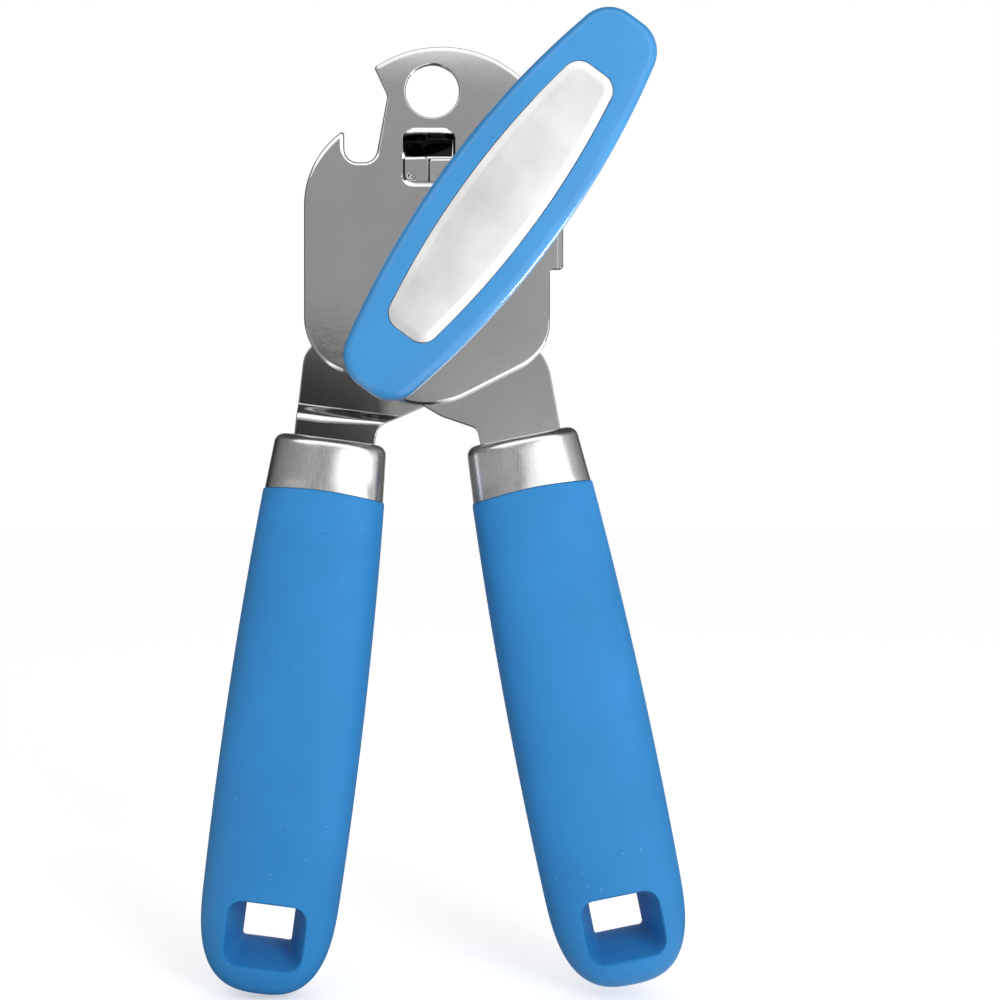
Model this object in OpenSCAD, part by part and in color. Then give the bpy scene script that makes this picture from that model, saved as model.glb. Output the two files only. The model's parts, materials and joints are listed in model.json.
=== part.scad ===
// Manual can opener with a geared cutter, bottle opener, turning key and two gripped handles.
// Front view: X to the right, Z up, the key side faces -Y.
// The origin is the centre of the hang hole, at mid thickness of the head plate.

/* [Head plate] */
// Thickness of the head plate
plate_t = 1.6; // [1.2:0.1:2.2]
// Width of the head plate
head_w = 51.6; // [49:0.2:56]
// Centre line of the head plate, measured from the hang hole
head_x = -1.1; // [-3:0.1:1]
// Height of the rounded top above the hang hole centre
head_top = 9.4; // [8:0.1:14]
// Depth of the bottom edge below the hang hole centre
head_bottom = 65.8; // [64:0.2:70]
// Radius of the rounded top
top_r = 25.2; // [22:0.2:28]
// Height of the lower corners below the hang hole centre
corner_drop = 55; // [52:0.5:58]
// Radius of the lower corners
corner_r = 10.8; // [6:0.2:14]
// Radius that eases the front edges
edge_r = 0.45; // [0.2:0.05:0.5]
// Diameter of the hang hole
hang_hole_d = 11.2; // [8:0.1:12]
// Length of the rim guard on the right edge
guard_l = 17.8; // [12:0.2:19]
// Reach of the rim guard behind the plate
guard_reach = 5.2; // [3:0.2:6]

/* [Bottle opener] */
// Width of the notch between hook and claw
notch_w = 6.4; // [5.5:0.1:7.5]
// Centre line of the notch, measured from the hang hole
notch_x = -15.2; // [-16:0.1:-15]
// Bottom of the notch, below the hang hole centre
notch_drop = 14.9; // [13.5:0.1:16]
// Tip of the claw over the notch, above the hang hole centre
claw_rise = 5; // [4:0.1:6]

/* [Guide window] */
// Width of the window
window_w = 10.1; // [9:0.1:11]
// Height of the window
window_h = 10.6; // [9.5:0.1:11.5]
// Top edge of the window, below the hang hole centre
window_drop = 8.3; // [8:0.1:9]
// Radius that rolls the edge of the window inwards
window_roll = 0.6; // [0.3:0.05:0.8]
// Reach of the guide tab behind the plate
tab_reach = 6.6; // [5:0.2:7]
// Height that the guide tab covers in the window
tab_fall = 4.1; // [3.6:0.1:4.6]

/* [Arms] */
// Thickness of both arms
arm_t = 1.8; // [1.5:0.1:2.2]
// Width of the neck of each arm, where it enters its ferrule
neck_w = 17; // [14:0.2:18]
// Width of the tang inside each handle
tang_w = 12; // [9:0.2:13]
// Length of the tang below the ferrule
tang_l = 38; // [25:1:50]
// Free space between sheets that slide over each other
sheet_gap = 0.25; // [0.15:0.05:0.4]
// Distance from the cutter's axis down to the pivot
pivot_drop = 24.4; // [23:0.1:26]
// Radius of the pivot bushing
pivot_r = 4; // [3:0.1:5]
// Radius of the pivot rivet
rivet_r = 2.6; // [1.5:0.1:2.8]

/* [Gears and wheels] */
// Distance of the drive shaft from the right edge of the head plate
shaft_inset = 11.3; // [10:0.1:12]
// Distance of the drive shaft below the hang hole centre
shaft_drop = 25.8; // [24.5:0.1:27]
// Module of the gears
gear_module = 1.5; // [1.4:0.02:1.56]
// Number of teeth on each gear
gear_teeth = 12; // [11:1:13]
// Thickness of each gear
gear_t = 2; // [1.5:0.1:2.6]
// Play between meshing teeth
backlash = 0.2; // [0.1:0.02:0.3]
// Radius of the feed wheel
feed_r = 8; // [7:0.1:8.4]
// Thickness of the feed wheel
feed_t = 2.6; // [2:0.1:3.4]
// Number of serrations on the feed wheel
feed_teeth = 26; // [18:1:32]
// Thickness of the cutting wheel
cutter_t = 1.4; // [1:0.1:2]
// Overlap of the cutting wheel and the feed wheel
wheel_overlap = 1; // [0.5:0.1:1.4]
// Radius of the drive shaft
shaft_r = 3.5; // [3:0.1:4]
// Radius of the cutter axle
axle_r = 2.5; // [2:0.1:3]
// Free space between turning faces
spin_gap = 0.3; // [0.2:0.05:0.5]
// Radial clearance of each running fit
run_fit = 0.05; // [0.02:0.01:0.08]

/* [Key] */
// Length of the key
key_l = 92.4; // [80:0.2:100]
// Width of the key at its middle
key_w = 26.4; // [24:0.2:30]
// Width of the key where its end corners begin
key_end_w = 15.2; // [13:0.2:17]
// Thickness of the key
key_t = 9; // [7:0.2:11]
// Radius that rounds the front edge of the key
key_edge_r = 1.8; // [0.8:0.1:2.4]
// Turn of the key at rest, from the horizontal
key_angle = 53.6; // [40:0.1:62]
// Length of the metal inlay
inlay_l = 65.4; // [50:0.2:70]
// Width of the metal inlay at its middle
inlay_w = 16; // [12:0.1:17]
// Thickness of the metal inlay
inlay_t = 2; // [1.4:0.1:2.6]
// Radius of the hub behind the key
hub_r = 8; // [6.5:0.1:9.5]
// Free space between the key and the handles that it turns over
key_clear = 0.5; // [0.3:0.1:2]

/* [Handles] */
// Turn of the left handle away from the vertical
left_tilt = 7.5; // [6:0.1:9]
// Turn of the right handle away from the vertical
right_tilt = 11.5; // [10:0.1:13]
// Length of each ferrule
ferrule_l = 12; // [10:0.1:13.5]
// Thickness of the ferrule wall
ferrule_wall = 0.8; // [0.6:0.05:1.2]
// Length of each grip below its ferrule
grip_l = 105.5; // [95:0.5:115]
// Width of the grip at the ferrule
grip_top_w = 25.7; // [24:0.1:28]
// Widest part of the grip
grip_max_w = 29.4; // [28:0.1:32]
// Thickness of the grip at the ferrule, front to back
grip_top_d = 16.4; // [15:0.1:18]
// Thickness of the grip at its widest part, front to back
grip_max_d = 18.2; // [17:0.1:21]
// Distance from the ferrule to the widest part of the grip
grip_belly = 63; // [50:1:75]
// Rise of the curved joint between grip and ferrule
joint_arch = 1; // [0:0.1:1.5]
// Wall of the soft grip over the hard core
grip_wall = 3; // [2:0.1:3.6]
// Width of the hang slot at the front of the grip
slot_w = 16; // [14:0.1:17]
// Height of the hang slot at the front of the grip
slot_h = 13.5; // [11:0.1:14]
// Amount that the slot narrows on each side towards the back
slot_draft = 2.75; // [2:0.05:3]
// Distance from the end of the grip to the centre of the hang slot
slot_end = 13.6; // [12:0.1:20]

/* [Hidden] */
$fn = 48;

steel = [0.62, 0.63, 0.65];
dark_steel = [0.42, 0.43, 0.45];
bright_steel = [0.82, 0.83, 0.85];
key_blue = [0.24, 0.57, 0.86];
core_grey = [0.30, 0.31, 0.33];

eps = 0.01;
beyond = 2 * key_l;     // reach of the boxes that trim a shape to size
reach = 20;             // reach of the bores that pass through every layer
seat = 0.02;            // play between pieces that are pressed together
gear_pitch_r = gear_module * gear_teeth / 2;
gear_tip_r = gear_pitch_r + 0.86 * gear_module;
gear_root_r = gear_pitch_r - 1.2 * gear_module;
pressure_angle = 20;
axle_gap = 2 * gear_pitch_r;

// Side edges of the head plate and axes of the mechanism, seen from the front
plate_left = head_x - head_w / 2;
plate_right = head_x + head_w / 2;
feed_pos = [plate_right - shaft_inset, -shaft_drop];
cutter_pos = feed_pos - [axle_gap, 0];
pivot_pos = cutter_pos - [0, pivot_drop];
cutter_r = axle_gap - feed_r + wheel_overlap;

// Levels of the stacked pieces; the front face of the plate is the highest
plate_front = plate_t / 2;
plate_back = -plate_t / 2;
lever_z = plate_back - sheet_gap - arm_t;
fixed_z = lever_z - sheet_gap - arm_t;
gear_z = fixed_z - spin_gap - gear_t;
feed_z = gear_z - feed_t;
cutter_z = feed_z - spin_gap - cutter_t;
handle_z = lever_z + arm_t / 2;
washer_t = 0.5;
key_washer_rim = 3;
key_z = handle_z + grip_top_d / 2 + key_clear;
hub_z = plate_front + spin_gap + washer_t + spin_gap;
key_front = key_z + key_t;

// Joints between grips and ferrules, seen from the front
left_joint = [-22.8, -84.8];
right_joint = [21.1, -84.1];

// ---- outlines ----

function unit(v) = v / norm(v);
function turned(p, angle) = [p.x * cos(angle) - p.y * sin(angle), p.x * sin(angle) + p.y * cos(angle)];
function on_left(p) = left_joint + turned(p, -left_tilt);
function on_right(p) = right_joint + turned(p, right_tilt);
function power(v, e) = sign(v) * pow(abs(v), e);

// Arc that rounds the corner b between its neighbours a and c
function corner_arc(a, b, c, r, inset, steps) =
    let (u = unit(a - b), w = unit(c - b), half = acos(u * w) / 2,
         side = cross(b - a, c - b) > 0 ? 1 : -1,
         centre = b + unit(u + w) * r / sin(half),
         start = b + u * r / tan(half) - centre,
         from = atan2(start.y, start.x))
    [for (i = [0:steps]) let (t = from + side * (180 - 2 * half) * i / steps)
        centre + (r - side * inset) * [cos(t), sin(t)]];

// Closed outline from corners [x, y, radius]; a fourth value sets the steps of that corner
function rounded(corners, inset = 0) =
    let (n = len(corners), xy = [for (c = corners) [c.x, c.y]])
    [for (i = [0:n - 1]) each corner_arc(xy[(i + n - 1) % n], xy[i], xy[(i + 1) % n],
        corners[i].z, inset, is_undef(corners[i][3]) ? 5 : corners[i][3])];

function box_corners(w, h, r) =
    [[w / 2, h / 2, r], [-w / 2, h / 2, r], [-w / 2, -h / 2, r], [w / 2, -h / 2, r]];

// Quarter round from a side wall into a face: pairs of [inset, height]
function eased(r, height, steps) =
    [for (i = [0:steps]) [r * (1 - cos(90 * i / steps)), height - r + r * sin(90 * i / steps)]];

function at_height(outline, z) = [for (p = outline) [p.x, p.y, z]];

// Solid through a stack of rings with equal counts of points
module lofted(rings) {
    n = len(rings[0]);
    last = (len(rings) - 1) * n;
    polyhedron(
        points = [for (ring = rings) each ring],
        faces = concat(
            [[for (i = [0:n - 1]) i]],
            [for (j = [0:len(rings) - 2], i = [0:n - 1]) let (k = (i + 1) % n)
                [j * n + i, (j + 1) * n + i, (j + 1) * n + k, j * n + k]],
            [[for (i = [n - 1:-1:0]) last + i]]));
}

// Plate whose edge follows a profile of [inset, height]; its two faces are cut flat
module eased_plate(corners, profile) {
    low = profile[0];
    high = profile[len(profile) - 1];
    runs = concat([low - [0, 1]], profile, [high + [0, 1]]);
    intersection() {
        lofted([for (p = runs) at_height(rounded(corners, p[0]), p[1])]);
        translate([-beyond, -beyond, low[1]]) cube([2 * beyond, 2 * beyond, high[1] - low[1]]);
    }
}

module sheet(corners, z, t) {
    translate([0, 0, z]) linear_extrude(t) polygon(rounded(corners));
}

// Everything is drawn lying on its back and stands up here
module upright() {
    rotate([90, 0, 0]) children();
}

module at(pos, z = 0) {
    translate([pos.x, pos.y, z]) children();
}

// ---- head plate ----

bottom_slope = 26.7;
bottom_r = 18.8;
bottom_tip = head_bottom + bottom_r * (1 / cos(bottom_slope) - 1);
top_centre = [head_x + 2.9, head_top - top_r];
claw_angle = 123;       // where the rounded top ends in the claw
shoulder_angle = 43.6;  // where the rounded top turns into the right side
shoulder_at = top_centre + top_r * [cos(shoulder_angle), sin(shoulder_angle)];
top_mid = (claw_angle + shoulder_angle) / 2;
top_tip = top_centre + top_r / cos((claw_angle - shoulder_angle) / 2) * [cos(top_mid), sin(top_mid)];
shoulder_run = plate_right - shoulder_at.x;
hook_drop = 8;

plate_corners = [
    [plate_right, shoulder_at.y - shoulder_run / tan(shoulder_angle), 0.97 * shoulder_run
        / sin(shoulder_angle) / tan(shoulder_angle / 2), 6],
    [top_tip.x, top_tip.y, 0.98 * top_r, 16],
    [notch_x + 3, claw_rise, 0.55, 4],
    [notch_x + notch_w / 2 + 2.6, claw_rise - 6, 1.7, 4],
    [notch_x + notch_w / 2, -notch_drop, 2.8, 7],
    [notch_x - notch_w / 2, -notch_drop, 2.9, 7],
    [notch_x - notch_w / 2 - 0.1, -hook_drop, 0.5, 4],
    [plate_left, -hook_drop - 6.6, 19, 8],
    [plate_left, -corner_drop, corner_r + 1.6, 7],
    [(plate_left + plate_right) / 2 + 0.2, -bottom_tip, bottom_r, 7],
    [plate_right, -corner_drop, corner_r, 7]];

plate_profile = concat([[0.1, plate_back], [0, plate_back + 0.1]], eased(edge_r, plate_front, 3));
window_corners = box_corners(window_w, window_h, 1.9);
window_pos = [head_x + 0.43, -window_drop - window_h / 2];
tab_w = window_w + 0.3;
tab_t = 1.3;
tab_knee = 2.6;         // depth behind the plate's middle at which the tab levels out

// Side profile of the guide tab, as [depth behind the plate, drop below the window's top edge]
tab_profile = [
    [plate_back + 0.4, 1.2, 0.3], [plate_back + 0.4, -0.4, 0.3], [-tab_knee - 0.4, -tab_fall + tab_t + 0.9, 1],
    [-tab_reach - plate_t / 2, -tab_fall + tab_t, 0.4], [-tab_reach - plate_t / 2, -tab_fall, 0.4],
    [-tab_knee, -tab_fall + 0.9, 1.6], [plate_front - edge_r, -0.7, 1], [plate_front - edge_r, 1.2, 0.3]];

// Profile of the rim guard, a part of the right edge that is bent back: [x, level]
guard_x = plate_right + 2.9;
guard_t = 1.4;
guard_root = plate_right - 2;
guard_foot = feed_pos.y - 11.2;
guard_back = plate_back - guard_reach;
guard_profile = [
    [guard_root, plate_back, 0.1], [guard_x - guard_t, plate_back, 0.4], [guard_x - guard_t, guard_back, 0.3],
    [guard_x, guard_back, 0.3], [guard_x, plate_front, 1.6], [guard_root, plate_front, 0.1]];
guard_side = [
    [plate_front + 1, guard_foot, 0.1], [guard_back, guard_foot, 2.6],
    [guard_back, guard_foot + guard_l, 2.6], [plate_front + 1, guard_foot + guard_l, 0.1]];

module rim_guard() intersection() {
    translate([0, guard_foot + guard_l, 0]) rotate([90, 0, 0]) linear_extrude(guard_l)
        polygon(rounded(guard_profile));
    translate([guard_x + 1, 0, 0]) rotate([0, -90, 0]) linear_extrude(guard_x + 2 - guard_root)
        polygon(rounded(guard_side));
}

module front_plate() color(steel) upright() {
    difference() {
        eased_plate(plate_corners, plate_profile);
        translate([0, 0, -plate_t]) cylinder(d = hang_hole_d, h = 2 * plate_t);
        translate([0, 0, plate_front - edge_r])
            cylinder(d1 = hang_hole_d, d2 = hang_hole_d + 2 * edge_r + 2 * eps, h = edge_r + eps);
        at(window_pos) lofted([
            for (p = concat([[0, -plate_t]], eased(window_roll, plate_front, 4), [[window_roll + 0.02, plate_t]]))
            at_height(rounded(window_corners, -p[0]), p[1])]);
        at(pivot_pos, -plate_t) cylinder(r = rivet_r + seat, h = 2 * plate_t);
        at(feed_pos, -plate_t) cylinder(r = shaft_r + bushing_wall + seat, h = 2 * plate_t);
    }
    translate([window_pos.x + tab_w / 2, -window_drop, 0]) rotate([0, -90, 0])
        linear_extrude(tab_w) polygon(rounded(tab_profile));
    rim_guard();
}

// ---- arms ----

bushing_wall = 1.5;
tang_pin_r = 2;
tang_pin_drops = [10, 28];
neck_drop = 2;          // neck shoulders, above the joint between grip and ferrule
neck_fillet = 0.3;      // inner corners between tang and neck
neck_play = 0.3;        // free space round each neck in its ferrule
spacer_r = 3.4;
joggle_at = 19;         // where the fixed arm steps forward, measured up the handle from its joint
joggle_run = 2.4;
slit_x = cutter_pos.x + 3.8; // edge of the lever arm behind the window
slit_cover = 1.6;       // the fixed arm reaches this far under that edge
arm_top = -window_drop - tab_fall - 0.9;
arm_right = plate_right - 2.5;

module tang_holes(place) {
    for (drop = tang_pin_drops) at(place([0, -drop]), -reach)
        cylinder(r = tang_pin_r + seat, h = 2 * reach);
}

fixed_neck = 0.7;
fixed_neck_left = on_left([fixed_neck - neck_w / 2, neck_drop]);
fixed_neck_right = on_left([fixed_neck + neck_w / 2, neck_drop]);
fixed_crotch = on_left([fixed_neck + neck_w / 2, 15.1]);
fixed_tang = [for (x = [-tang_w / 2, tang_w / 2], y = [-tang_l, neck_drop]) on_left([x, y])];

fixed_corners = [
    [fixed_tang[0].x, fixed_tang[0].y, 1.5], [fixed_tang[2].x, fixed_tang[2].y, 1.5],
    [fixed_tang[3].x, fixed_tang[3].y, neck_fillet], [fixed_neck_right.x, fixed_neck_right.y, 0.8],
    [fixed_crotch.x, fixed_crotch.y, 1.6],
    [pivot_pos.x + 14.5, pivot_pos.y - 10, 8],
    [arm_right, feed_pos.y - 17, 5],
    [arm_right, feed_pos.y + 6, 5],
    [feed_pos.x + 2, arm_top, 6],
    [slit_x - slit_cover, arm_top, 1.3],
    [slit_x - slit_cover, cutter_pos.y + 5, 1],
    [feed_pos.x - 9, cutter_pos.y + 2, 1.5],
    [feed_pos.x - 9, cutter_pos.y - 5.5, 4],
    [pivot_pos.x - 7, pivot_pos.y + 10, 8],
    [plate_left - 0.2, -corner_drop + 0.4, 6],
    [fixed_neck_left.x, fixed_neck_left.y, 0.8],
    [fixed_tang[1].x, fixed_tang[1].y, neck_fillet]];

// Side profile of the fixed arm along its handle: [distance along the handle, level, radius]
fixed_profile = [
    [-tang_l - 1, lever_z, 0.2], [joggle_at - joggle_run, lever_z, 0.8],
    [joggle_at, fixed_z, 1.6], [90, fixed_z, 0.2], [90, fixed_z + arm_t, 0.2],
    [joggle_at + 0.4, fixed_z + arm_t, 0.8], [joggle_at - joggle_run + 0.4, lever_z + arm_t, 1.6],
    [-tang_l - 1, lever_z + arm_t, 0.2]];

module fixed_arm() color(dark_steel) upright() {
    difference() {
        intersection() {
            translate([0, 0, -reach]) linear_extrude(2 * reach) polygon(rounded(fixed_corners));
            at(left_joint) rotate(-left_tilt) translate([-beyond, 0, 0]) rotate([90, 0, 90])
                linear_extrude(2 * beyond) polygon(rounded(fixed_profile));
        }
        at(pivot_pos, -reach) cylinder(r = rivet_r + seat, h = 2 * reach);
        at(feed_pos, -reach) cylinder(r = shaft_r + bushing_wall + seat, h = 2 * reach);
        tang_holes(function (p) on_left(p));
    }
}

lever_neck = -0.2;
hip_at = 26;            // where the lever arm turns inwards, measured up the handle from its joint
lever_neck_left = on_right([lever_neck - neck_w / 2, neck_drop]);
lever_neck_right = on_right([lever_neck + neck_w / 2, neck_drop]);
lever_crotch = on_right([lever_neck - neck_w / 2, 15.4]);
lever_hip = on_right([lever_neck + neck_w / 2 + 0.5, hip_at]);
lever_tang = [for (x = [-tang_w / 2, tang_w / 2], y = [-tang_l, neck_drop]) on_right([x, y])];

lever_corners = [
    [lever_tang[0].x, lever_tang[0].y, 1.5], [lever_tang[2].x, lever_tang[2].y, 1.5],
    [lever_tang[3].x, lever_tang[3].y, neck_fillet], [lever_neck_right.x, lever_neck_right.y, 0.8],
    [lever_hip.x, lever_hip.y, 11, 7],
    [pivot_pos.x + 20, pivot_pos.y + 4.5, 8],
    [pivot_pos.x + 7, pivot_pos.y + 12, 8],
    [slit_x, cutter_pos.y - 4, 6],
    [slit_x, arm_top, 0.8],
    [cutter_pos.x - 8.2, arm_top - 0.4, 5],
    [cutter_pos.x - 10, cutter_pos.y - 6, 12],
    [pivot_pos.x - 12.5, pivot_pos.y + 3, 12],
    [pivot_pos.x - 9, pivot_pos.y - 9, 9],
    [pivot_pos.x + 6.6, pivot_pos.y - 18, 8],
    [lever_crotch.x, lever_crotch.y, 2],
    [lever_neck_left.x, lever_neck_left.y, 0.8],
    [lever_tang[1].x, lever_tang[1].y, neck_fillet]];

module lever_arm() color(steel) upright() difference() {
    sheet(lever_corners, lever_z, arm_t);
    at(pivot_pos, -reach) cylinder(r = pivot_r + run_fit, h = 2 * reach);
    at(cutter_pos, -reach) cylinder(r = axle_r + seat, h = 2 * reach);
    tang_holes(function (p) on_right(p));
}

// ---- pivot ----

rivet_head_r = 5;
rivet_head_h = 1.2;
pivot_washer_t = 0.8;

// Shallow domed head on a rivet or axle
module dome(r, h) {
    ball = (r * r + h * h) / (2 * h);
    intersection() {
        translate([0, 0, h - ball]) sphere(ball);
        cylinder(r = r, h = h);
    }
}

module pivot_rivet() color(bright_steel) upright() {
    back = fixed_z - pivot_washer_t - seat;
    at(pivot_pos, plate_front + seat) dome(rivet_head_r, rivet_head_h);
    at(pivot_pos, back - eps) cylinder(r = rivet_r, h = plate_front - back + seat + 2 * eps);
    at(pivot_pos, back) mirror([0, 0, 1]) dome(rivet_head_r - 0.6, rivet_head_h);
}

module pivot_bushing() color(bright_steel) upright() at(pivot_pos, lever_z - sheet_gap) difference() {
    cylinder(r = pivot_r, h = arm_t + 2 * sheet_gap);
    translate([0, 0, -1]) cylinder(r = rivet_r + seat, h = arm_t + 3);
}

module pivot_washer() color(steel) upright() at(pivot_pos, fixed_z - pivot_washer_t) difference() {
    cylinder(r = rivet_head_r + 1, h = pivot_washer_t);
    translate([0, 0, -1]) cylinder(r = rivet_r + seat, h = pivot_washer_t + 2);
}

// ---- drive: key, shaft, gear and feed wheel ----

square = 2 * shaft_r / sqrt(2) - 0.4;   // across the flats of the shaft's square ends
square_l = 8;           // how far the front square reaches into the hub and key
nut_h = 2.4;
nut_r = 4.4;
thread_r = 2;
thread_end = 0.8;       // shaft end that stands out of the nut

module feed_bushing() color(bright_steel) upright() at(feed_pos) difference() {
    union() {
        translate([0, 0, fixed_z]) cylinder(r = shaft_r + bushing_wall, h = plate_front - fixed_z);
        translate([0, 0, lever_z - sheet_gap])
            cylinder(r = shaft_r + bushing_wall + 1.3, h = arm_t + 2 * sheet_gap);
    }
    translate([0, 0, -reach]) cylinder(r = shaft_r + run_fit, h = 2 * reach);
}

module drive_shaft() color(bright_steel) upright() at(feed_pos) {
    translate([0, 0, gear_z + gear_t]) cylinder(r = shaft_r, h = hub_z - gear_z - gear_t);
    translate([0, 0, (feed_z + gear_z + gear_t) / 2 + eps])
        cube([square, square, gear_z + gear_t - feed_z], center = true);
    translate([0, 0, feed_z - nut_h - thread_end]) cylinder(r = thread_r, h = nut_h + thread_end + 0.2);
    translate([0, 0, hub_z + square_l / 2 - eps]) cube([square, square, square_l], center = true);
}

// Half width of a gear tooth, in degrees, at a radius outside the base circle
base_r = gear_pitch_r * cos(pressure_angle);
function roll(r) = sqrt(pow(max(r, base_r) / base_r, 2) - 1) * 180 / PI;
function involute(r) = roll(r) - atan(roll(r) * PI / 180);
tooth_half = 90 / gear_teeth - backlash / 2 / gear_pitch_r * 180 / PI;
function tooth_angle(r) = tooth_half + involute(gear_pitch_r) - involute(r);

flank = [for (i = [0:4]) base_r + (gear_tip_r - base_r) * i / 4];
function gear_outline() = [for (k = [0:gear_teeth - 1]) each concat(
    [let (a = k * 360 / gear_teeth - tooth_angle(base_r) - 1.2) gear_root_r * [cos(a), sin(a)]],
    [for (r = flank) let (a = k * 360 / gear_teeth - tooth_angle(r)) r * [cos(a), sin(a)]],
    [for (i = [4:-1:0]) let (r = flank[i], a = k * 360 / gear_teeth + tooth_angle(r)) r * [cos(a), sin(a)]],
    [let (a = k * 360 / gear_teeth + tooth_angle(base_r) + 1.2) gear_root_r * [cos(a), sin(a)]])];

module drive_gear() color(steel) upright() at(feed_pos, gear_z) difference() {
    rotate(180 + 180 / gear_teeth) linear_extrude(gear_t) polygon(gear_outline());
    cube([square + 2 * seat, square + 2 * seat, 3 * gear_t], center = true);
}

serration_h = 0.7;
module feed_wheel() color(steel) upright() at(feed_pos, feed_z) difference() {
    union() {
        intersection() {
            linear_extrude(feed_t - spin_gap) polygon([for (i = [0:2 * feed_teeth - 1])
                (feed_r - (i % 2) * serration_h) * [cos(i * 180 / feed_teeth), sin(i * 180 / feed_teeth)]]);
            rotate_extrude() polygon([[0, 0], [feed_r - 1.4, 0], [feed_r + 0.1, 0.9], [feed_r + 0.1, feed_t],
                [0, feed_t]]);
        }
        cylinder(r = shaft_r + 1.5, h = feed_t);
    }
    cube([square + 2 * seat, square + 2 * seat, 3 * feed_t], center = true);
}

module feed_nut() color(bright_steel) upright() at(feed_pos, feed_z - nut_h) difference() {
    intersection() {
        cylinder(r = nut_r, h = nut_h, $fn = 6);
        rotate_extrude()
            polygon([[0, 0], [nut_r - 1, 0], [nut_r + 0.1, 0.8], [nut_r + 0.1, nut_h], [0, nut_h]]);
    }
    translate([0, 0, -1]) cylinder(r = thread_r + seat, h = nut_h + 2);
}

module key_washer() color(bright_steel) upright() at(feed_pos, plate_front + spin_gap) difference() {
    cylinder(r = shaft_r + key_washer_rim, h = washer_t);
    translate([0, 0, -1]) cylinder(r = shaft_r + run_fit, h = washer_t + 2);
}

// Long lozenge with bowed sides, as corners for rounded()
function lozenge(l, w, end_w, end_r) =
    let (rise = w / 2 - end_w / 2, run = l / 2 - end_r, side_r = (run * run + rise * rise) / (2 * rise),
         lean = asin(run / side_r), tip = w / 2 + side_r * (1 / cos(lean) - 1),
         end_y = tip - l / 2 * tan(lean))
    [[l / 2, end_y, end_r, 8], [0, tip, side_r * 0.98, 14], [-l / 2, end_y, end_r, 8],
     [-l / 2, -end_y, end_r, 8], [0, -tip, side_r * 0.98, 14], [l / 2, -end_y, end_r, 8]];

key_corners = lozenge(key_l, key_w, key_end_w + 2.6, 7);
inlay_corners = lozenge(inlay_l, inlay_w, key_end_w - 4, 3.6);
inlay_fit = 0.15;
inlay_proud = 0.45;
inlay_z = key_front + inlay_proud - inlay_t;
key_profile = concat([[0.9, key_z], [0.25, key_z + 0.35], [0, key_z + 1]], eased(key_edge_r, key_front, 5));
inlay_profile = concat([[0, inlay_z]], eased(0.8, inlay_z + inlay_t, 3));

module on_key() {
    upright() at(feed_pos) rotate(key_angle) children();
}

module key_body() color(key_blue) on_key() difference() {
    union() {
        eased_plate(key_corners, key_profile);
        translate([0, 0, hub_z]) cylinder(r = hub_r, h = key_z - hub_z + 1);
    }
    translate([0, 0, inlay_z - seat]) linear_extrude(inlay_t + 1)
        polygon(rounded(inlay_corners, -inlay_fit));
    rotate(-key_angle) translate([0, 0, hub_z + square_l / 2 - eps])
        cube([square + 2 * seat, square + 2 * seat, square_l + 2 * seat], center = true);
}

module key_inlay() color(bright_steel) on_key() eased_plate(inlay_corners, inlay_profile);

// ---- cutter ----

axle_head_r = 4.2;
cutter_washer_t = 0.5;
cutter_hub_r = 4.4;

module cutter_axle() color(bright_steel) upright() at(cutter_pos) {
    back = cutter_z - spin_gap - cutter_washer_t - seat;
    translate([0, 0, back - eps]) cylinder(r = axle_r, h = lever_z + arm_t - back);
    translate([0, 0, back]) mirror([0, 0, 1]) dome(axle_head_r, 1.1);
}

module cutter_spacer() color(bright_steel) upright()
    at(cutter_pos, gear_z + gear_t + spin_gap / 2) difference() {
        cylinder(r = spacer_r, h = lever_z - gear_z - gear_t - spin_gap / 2);
        translate([0, 0, -1]) cylinder(r = axle_r + seat, h = reach);
    }

module cutter_gear() color(steel) upright() at(cutter_pos, gear_z) difference() {
    linear_extrude(gear_t) polygon(gear_outline());
    translate([0, 0, -1]) cylinder(r = axle_r + run_fit, h = gear_t + 2);
}

module cutter_wheel() color(bright_steel) upright() at(cutter_pos) difference() {
    rotate_extrude() polygon([
        [0, cutter_z], [cutter_r - 3, cutter_z], [cutter_r, cutter_z + cutter_t - 0.15],
        [cutter_r, cutter_z + cutter_t], [cutter_hub_r, cutter_z + cutter_t],
        [cutter_hub_r, gear_z - seat], [0, gear_z - seat]]);
    translate([0, 0, -reach]) cylinder(r = axle_r + run_fit, h = reach);
}

module cutter_washer() color(bright_steel) upright()
    at(cutter_pos, cutter_z - spin_gap / 2 - cutter_washer_t) difference() {
        cylinder(r = axle_head_r + 1, h = cutter_washer_t);
        translate([0, 0, -1]) cylinder(r = axle_r + seat, h = cutter_washer_t + 2);
    }

// ---- handles ----

sides = 36;
oval = 2.5;             // squareness of the handle's cross section
end_l = 21.5;           // length over which the end of the grip rounds off
end_power = 2.9;
joint_gap = 0.1;
core_l = 68;
core_fit = 0.1;

// Half size of the grip at a distance down from the joint
function swell(top, belly, s) = (belly - (belly - top) * pow(1 - s / grip_belly, 2)) / 2;
function end_round(s) =
    let (k = max(0, s - grip_l + end_l) / end_l) pow(1 - pow(k, end_power), 1 / end_power);
function grip_half_w(s) = swell(grip_top_w, grip_max_w, s) * end_round(s);
function grip_half_d(s) = swell(grip_top_d, grip_max_d, s) * end_round(s);

// Ring of the cross section at height y, bulging up by arch at the front and back
function ring(w, d, y, arch = 0, n = sides) = [for (i = [0:n - 1]) let (a = 360 * i / n,
    x = w * power(sin(a), 2 / oval), z = d * power(cos(a), 2 / oval))
    [x, y + arch * (1 - pow(x / w, 2)), z]];

function spaced(from, to, n) = [for (i = [0:n]) from + (to - from) * i / n];

grip_stops = concat([grip_l - 0.06, grip_l - 0.8, grip_l - 2.2, grip_l - 4.4, grip_l - 8, grip_l - 13],
    spaced(grip_l - end_l, 4, 8), [2, 0]);

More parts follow.
